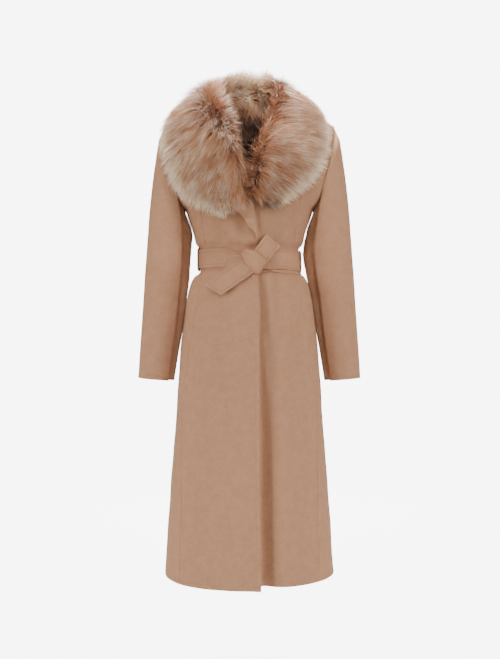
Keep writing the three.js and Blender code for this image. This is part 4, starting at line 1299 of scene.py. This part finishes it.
def both_edges(colour):
    """The colours of a hair's points for both edges of its ribbon."""
    full = np.concatenate([colour, np.ones(colour.shape[:2] + (1,))], -1)
    return np.repeat(full[:, :, None], 2, axis=2).reshape(-1, 4)


LIGHT_ROOTS_UNTIL = {"left": 0.3, "right": 0.6}  # the parting is dark only below this place


def strand_colours(side_name, t, turn, tone, steps):
    """Dark at the root, rust to tan along the hair and cream at the tip; lightest round the collar's edge,
    partly from its pale tips and partly as painted light.

    The short hair underneath has no tone, and no cream tips. Painted light makes the top of the inner back
    paler, and painted shade darkens the hair deep inside the neck and along the parting.
    """
    count = len(t)
    shape = (count, steps, 3)
    s = np.linspace(0, 1, steps)[None, :]
    turned = round_hide(turn)
    parting = column(PARTING[side_name], "degrees", t, "place")
    at_parting = bell(turned, parting, 24) * ramp(t, 0.1, 0.25)
    # Partly the fur's pale tips, partly painted light: the hair round the collar's outer edge is paler.
    pale_tips_and_edge_light = bell(turned, 0, 52)
    # Painted light: the hair at the top of the inner back gets more and longer cream tips.
    painted_top_light = ramp(turned, 125, 150) * ramp(turned, 250, 220) * ramp(t, 0.34, 0.22)
    # Painted shade: the hair deep inside the neck is darker and more rust, with fewer cream tips.
    deep = smooth((turned - 214 - 22 * ramp(t, 0.32, 0.22)) / 34) * ramp(t, 0.8, 0.66)
    patches = 0.8 * swirl(t * 2.3, turn * 1.7, 4.0)[:, 0] + 0.2 * random.normal(0, 1, count)
    rust = smooth(0.5 + patches + 0.4 * at_parting - 0.5 * pale_tips_and_edge_light + 0.3 * painted_top_light + 0.6 * deep)
    body = mix(np.tile(MIDDLE_COLOUR, (count, 1)), np.tile(RUST_COLOUR, (count, 1)), rust)
    until = LIGHT_ROOTS_UNTIL[side_name]
    light_roots = bell(turned, parting, 30) * (0.3 + 0.7 * ramp(t, until, until - 0.12))
    low = smooth((s + 0.34 * light_roots[:, None]) / 0.42)
    colour = mix(np.broadcast_to(ROOT_COLOUR, shape), np.broadcast_to(body[:, None], shape), low)
    if tone is not None:
        tone = tone * (1 - 0.4 * at_parting) + 0.9 * pale_tips_and_edge_light + 0.6 * painted_top_light + random.normal(0, 0.13, count)
        if side_name == "right":
            beside_hole = ramp(turned, 175, 200) * ramp(t, 0.36, 0.46) * ramp(t, 0.8, 0.7)
            tone = tone + 0.6 * beside_hole
        tone = (np.clip(tone, 0.06, 1) * (1 - 0.75 * deep))[:, None]
        longer_tip = 0.24 * np.clip(pale_tips_and_edge_light + painted_top_light, 0, 1)[:, None]
        tip = smooth((s - 0.36 + longer_tip) / 0.6) * tone
        colour = mix(colour, np.broadcast_to(TIP_COLOUR, shape), tip)
    # Painted shade: darker hair deep inside the neck, and a little darker along the parting.
    shade = (1 - 0.6 * deep * ramp(t, 0.2, 0.35)) * (1 - 0.22 * at_parting)
    # Painted shade: the left half's hair is darker at its low end, on its outer side.
    if side_name == "left":
        shade = shade * (1 - 0.6 * ramp(t, 0.87, 0.92) * ramp(turned, 130, 70))
    colour = colour * (random.uniform(0.86, 1.12, count) * shade)[:, None, None]
    # Painted shade: the roots deep in the back of the neck are darker still.
    painted_shade_at_roots = (deep * ramp(t, 0.3, 0.2))[:, None] * (1 - ramp(s, 0.3, 0.9))
    return both_edges(colour * (1 - 0.6 * painted_shade_at_roots)[..., None])


def fur_piece(name, side, hairs, normal, wide, colours):
    points, faces, soft = ribbons(hairs, normal, wide)
    mirror = np.array([side, 1, 1])
    piece = make_piece(name, points * mirror, faces if side > 0 else faces[:, ::-1], fur, colours)
    piece.data.normals_split_custom_set_from_vertices((soft * mirror).tolist())
    join_coat(piece)


GUARD_STEPS, UNDER_STEPS = 6, 4
GUARD_LENGTH, UNDER_LENGTH = 60, (22, 38)
GUARD_WIDTH, UNDER_WIDTH = (0.75, 1.3), (1.4, 2.3)
LOOSE_SHARE, LOOSE_HOLD = 0.14, 0.08  # hairs that stray from their lock
LOCK_HOLD = (0.1, 0.5)
HIDE_ROWS, HIDE_SIDES = 60, 36


def underfur(side_name, side, count):
    t, turn = roots(count, COLLAR[side_name])
    hairs, normal = grow(side_name, t, turn, random.uniform(*UNDER_LENGTH, count), 0.5, UNDER_STEPS)
    colours = strand_colours(side_name, t, turn, None, UNDER_STEPS)
    wide = random.uniform(*UNDER_WIDTH, count)
    fur_piece(f"collar_{side_name}_underfur", side, hairs, normal, wide, colours)


def guard_hair(side_name, side, strands, locks):
    """The long hair, drawn towards the middle hair of its lock."""
    rows = COLLAR[side_name]
    lock_t, lock_turn = roots(locks, rows)
    t, turn = roots(strands, rows)
    lock = nearest_lock(t, turn, lock_t, lock_turn)
    reach = GUARD_LENGTH * random.uniform(0.88, 1.08, locks)
    guides, _ = grow(side_name, lock_t, lock_turn, reach, 0.2, GUARD_STEPS, 0.34)
    length = reach[lock] * random.uniform(0.72, 1.06, strands)
    hairs, normal = grow(side_name, t, turn, length, 0.15, GUARD_STEPS, 0.12)
    s = np.linspace(0, 1, GUARD_STEPS)[None, :, None]
    hold = random.uniform(*LOCK_HOLD, locks)[lock][:, None, None]
    loose = (random.uniform(0, 1, strands) < LOOSE_SHARE)[:, None, None]
    pull = np.where(loose, LOOSE_HOLD, hold) * s**1.3
    hairs = hairs * (1 - pull) + guides[lock] * pull
    tone = random.uniform(0.04, 0.6, locks)[lock]
    colours = strand_colours(side_name, t, turn, tone, GUARD_STEPS)
    wide = random.uniform(*GUARD_WIDTH, strands)
    for k, part in enumerate(np.array_split(np.arange(strands), 2)):
        a, b = part[0], part[-1] + 1
        layer = colours[a * GUARD_STEPS * 2 : b * GUARD_STEPS * 2]
        fur_piece(f"collar_{side_name}_fur_{k + 1}", side, hairs[a:b], normal[a:b], wide[a:b], layer)


def collar_half(side_name, side, strands, locks, under):
    """One half of the collar: the short soft underfur, the long hair in locks and the hide."""
    underfur(side_name, side, under)
    guard_hair(side_name, side, strands, locks)
    ts, turns = np.linspace(0, HIDE_END, HIDE_ROWS), np.linspace(0, 2 * math.pi, HIDE_SIDES + 1)[:-1]
    along, round_it = np.meshgrid(ts, turns, indexing="ij")
    skin = hide_point(COLLAR[side_name], along.ravel(), round_it.ravel())[0]
    faces = tube_faces(HIDE_ROWS, HIDE_SIDES)
    name, mirror = f"collar_{side_name}", np.array([side, 1, 1])
    hide = make_piece(f"{name}_hide", skin * mirror, faces[:, ::-1] if side > 0 else faces, pelt)
    join_coat(hide, name)


collar_half("left", 1, 24500, 1400, 6000)
collar_half("right", -1, 26500, 1500, 6500)

NECK_HAIRS = 2400
NECK_HAIR_LENGTH = (24, 48)
NECK_HAIR_TURNS = (0.58 * math.pi, 1.42 * math.pi)
NECK_HAIR_RANGE = (-28, 12)


def neck_fur():
    """Short hair inside the back of the neck, over the seam between the collar and the lining, dark as
    painted shade.
    """
    count = NECK_HAIRS
    angle = random.uniform(*NECK_HAIR_TURNS, count)
    z = random.uniform(*NECK_HAIR_RANGE, count)
    root = lifted(angle, z, -3.6 - 1.4 * random.uniform(0, 1, count) - 17 * ramp(z, -8, 4))
    inward = -unit(lifted(angle, z, 0) - lifted(angle, z, -5))
    points = [root]
    length = random.uniform(*NECK_HAIR_LENGTH, count)
    noise = random.normal(0, 0.3, (count, 3))
    for step in range(1, GUARD_STEPS):
        s = step / (GUARD_STEPS - 1)
        way = inward * (0.75 - 0.3 * s) + np.array([0, 0, -0.35 - 0.7 * s]) + noise * (0.4 + 0.6 * s)
        points.append(points[-1] + unit(way) * (length / (GUARD_STEPS - 1))[:, None])
    s = np.linspace(0, 1, GUARD_STEPS)[None, :, None]
    light = (random.uniform(0, 1, count) < 0.12)[:, None, None] * ramp(s, 0.4, 1.0)
    # Painted shade: the hair is very dark, with a few paler strands.
    colour = ROOT_COLOUR * 0.45 * (1 + 0.6 * s) * (1 - light) + MIDDLE_COLOUR * 0.9 * light
    colours = both_edges(colour * random.uniform(0.8, 1.2, count)[:, None, None])
    fur_piece("collar_inner_fur", 1, np.stack(points, 1), inward, random.uniform(0.6, 1.1, count), colours)


neck_fur()

# Floor, light and camera, in metres
FLOOR = -1.40
FLOOR_REACH = 6.0
FLOOR_POINTS = 9
FLOOR_FADE = (2.2, 5.6)  # from its middle, where it fades out into the surroundings
FLOOR_GLOW = 9.6  # the floor is lit from below, as a studio's white table is
FLOOR_GLOW_SHARE = 0.7
SURROUNDINGS_LIGHT, SURROUNDINGS_SEEN = 0.26, 7.6


def floor():
    """A pale matt floor that fades out into the pale surroundings."""
    material, tree = new_material("pale_floor")
    place = add_node(tree, "ShaderNodeTexCoord").outputs["Object"]
    away = add_node(tree, "ShaderNodeVectorMath", {"operation": "LENGTH"}, i0=place)
    fade = add_node(
        tree, "ShaderNodeMapRange", {"interpolation_type": "SMOOTHSTEP"}, Value=away.outputs["Value"],
        From_Min=FLOOR_FADE[0], From_Max=FLOOR_FADE[1], To_Min=0.0, To_Max=1.0,
    )
    seen = add_node(tree, "ShaderNodeLightPath").outputs["Is Camera Ray"]
    share = add_node(tree, "ShaderNodeMath", {"operation": "MULTIPLY"}, i0=seen, i1=FLOOR_GLOW_SHARE)
    matt = add_node(tree, "ShaderNodeBsdfDiffuse", Color=linear("#f8f8f8"))
    glow = add_node(tree, "ShaderNodeEmission", Color=linear("#ffffff"), Strength=FLOOR_GLOW)
    paint = add_node(
        tree, "ShaderNodeMixShader", i0=share.outputs[0], i1=matt.outputs[0], i2=glow.outputs[0],
    )
    clear = add_node(tree, "ShaderNodeBsdfTransparent")
    both = add_node(
        tree, "ShaderNodeMixShader", i0=fade.outputs[0], i1=paint.outputs[0], i2=clear.outputs[0],
    )
    add_node(tree, "ShaderNodeOutputMaterial", Surface=both.outputs[0])

    spots = np.linspace(-FLOOR_REACH, FLOOR_REACH, FLOOR_POINTS) / MM
    grid = np.stack(np.meshgrid(spots, spots, [0.0], indexing="ij"), -1)
    stage = make_piece("floor", grid, grid_faces(FLOOR_POINTS, FLOOR_POINTS, flip=True), material)
    stage.location = (0, 0, FLOOR)


floor()

LOW = (0, 0, -0.82)
LIGHTS = {  # place, target, width and height, power and spread in degrees
    "front_light": ((0.2, -2.9, 0.4), LOW, (1.4, 1.4), 3.8, 55),
    "left_light": ((-2.5, -1.35, -0.5), LOW, (0.9, 1.2), 5.3, 52),
    "right_light": ((2.5, -1.35, -0.5), LOW, (0.9, 1.2), 4.9, 52),
    "collar_back_light": ((0, 0.55, 1.7), (0, 0.05, 0.1), (0.7, 0.7), 16, 50),
    "collar_front_light": ((0, -1.7, 2.1), (0, 0.06, 0.08), (0.6, 0.6), 2.1, 15),
    "floor_light": ((0, 2.3, 1.9), (0, 2.0, FLOOR), (3.2, 1.6), 90, 60),
    "back_light": ((0, 3.2, 1.2), (0, 0, -0.5), (2.0, 1.6), 1.5, 180),
}


def soft_light(name, place, target, size, power, spread_angle):
    light = bpy.data.lights.new(name, "AREA")
    light.shape = "RECTANGLE"
    light.size, light.size_y = size
    light.energy = power
    light.spread = math.radians(spread_angle)
    lamp = bpy.data.objects.new(name, light)
    lamp.location = place
    away = Vector(place) - Vector(target)
    lamp.rotation_euler = away.to_track_quat("Z", "Y").to_euler()
    bpy.context.scene.collection.objects.link(lamp)


for name, values in LIGHTS.items():
    soft_light(name, *values)


def surroundings():
    """An even pale studio: soft light on the coat, and a brighter white where the camera sees past it."""
    world = bpy.data.worlds.new("studio")
    world.use_nodes = True
    tree = world.node_tree
    tree.nodes.clear()
    white = linear("#ffffff")
    soft = add_node(tree, "ShaderNodeBackground", Color=white, Strength=SURROUNDINGS_LIGHT)
    pale = add_node(tree, "ShaderNodeBackground", Color=white, Strength=SURROUNDINGS_SEEN)
    seen = add_node(tree, "ShaderNodeLightPath").outputs["Is Camera Ray"]
    both = add_node(tree, "ShaderNodeMixShader", i0=seen, i1=soft.outputs[0], i2=pale.outputs[0])
    add_node(tree, "ShaderNodeOutputWorld", Surface=both.outputs[0])
    bpy.context.scene.world = world


surroundings()

# The camera stands level with the middle of the photograph, in front of the coat.
camera_data = bpy.data.cameras.new("photo_camera")
camera_data.sensor_width = 36
camera_data.lens = 48.65
camera_data.dof.use_dof = False
camera = bpy.data.objects.new("photo_camera", camera_data)
camera.location = (0.0017, -2.2, -0.547)
camera.rotation_euler = (math.pi / 2, 0, 0)
bpy.context.scene.collection.objects.link(camera)
bpy.context.scene.camera = camera
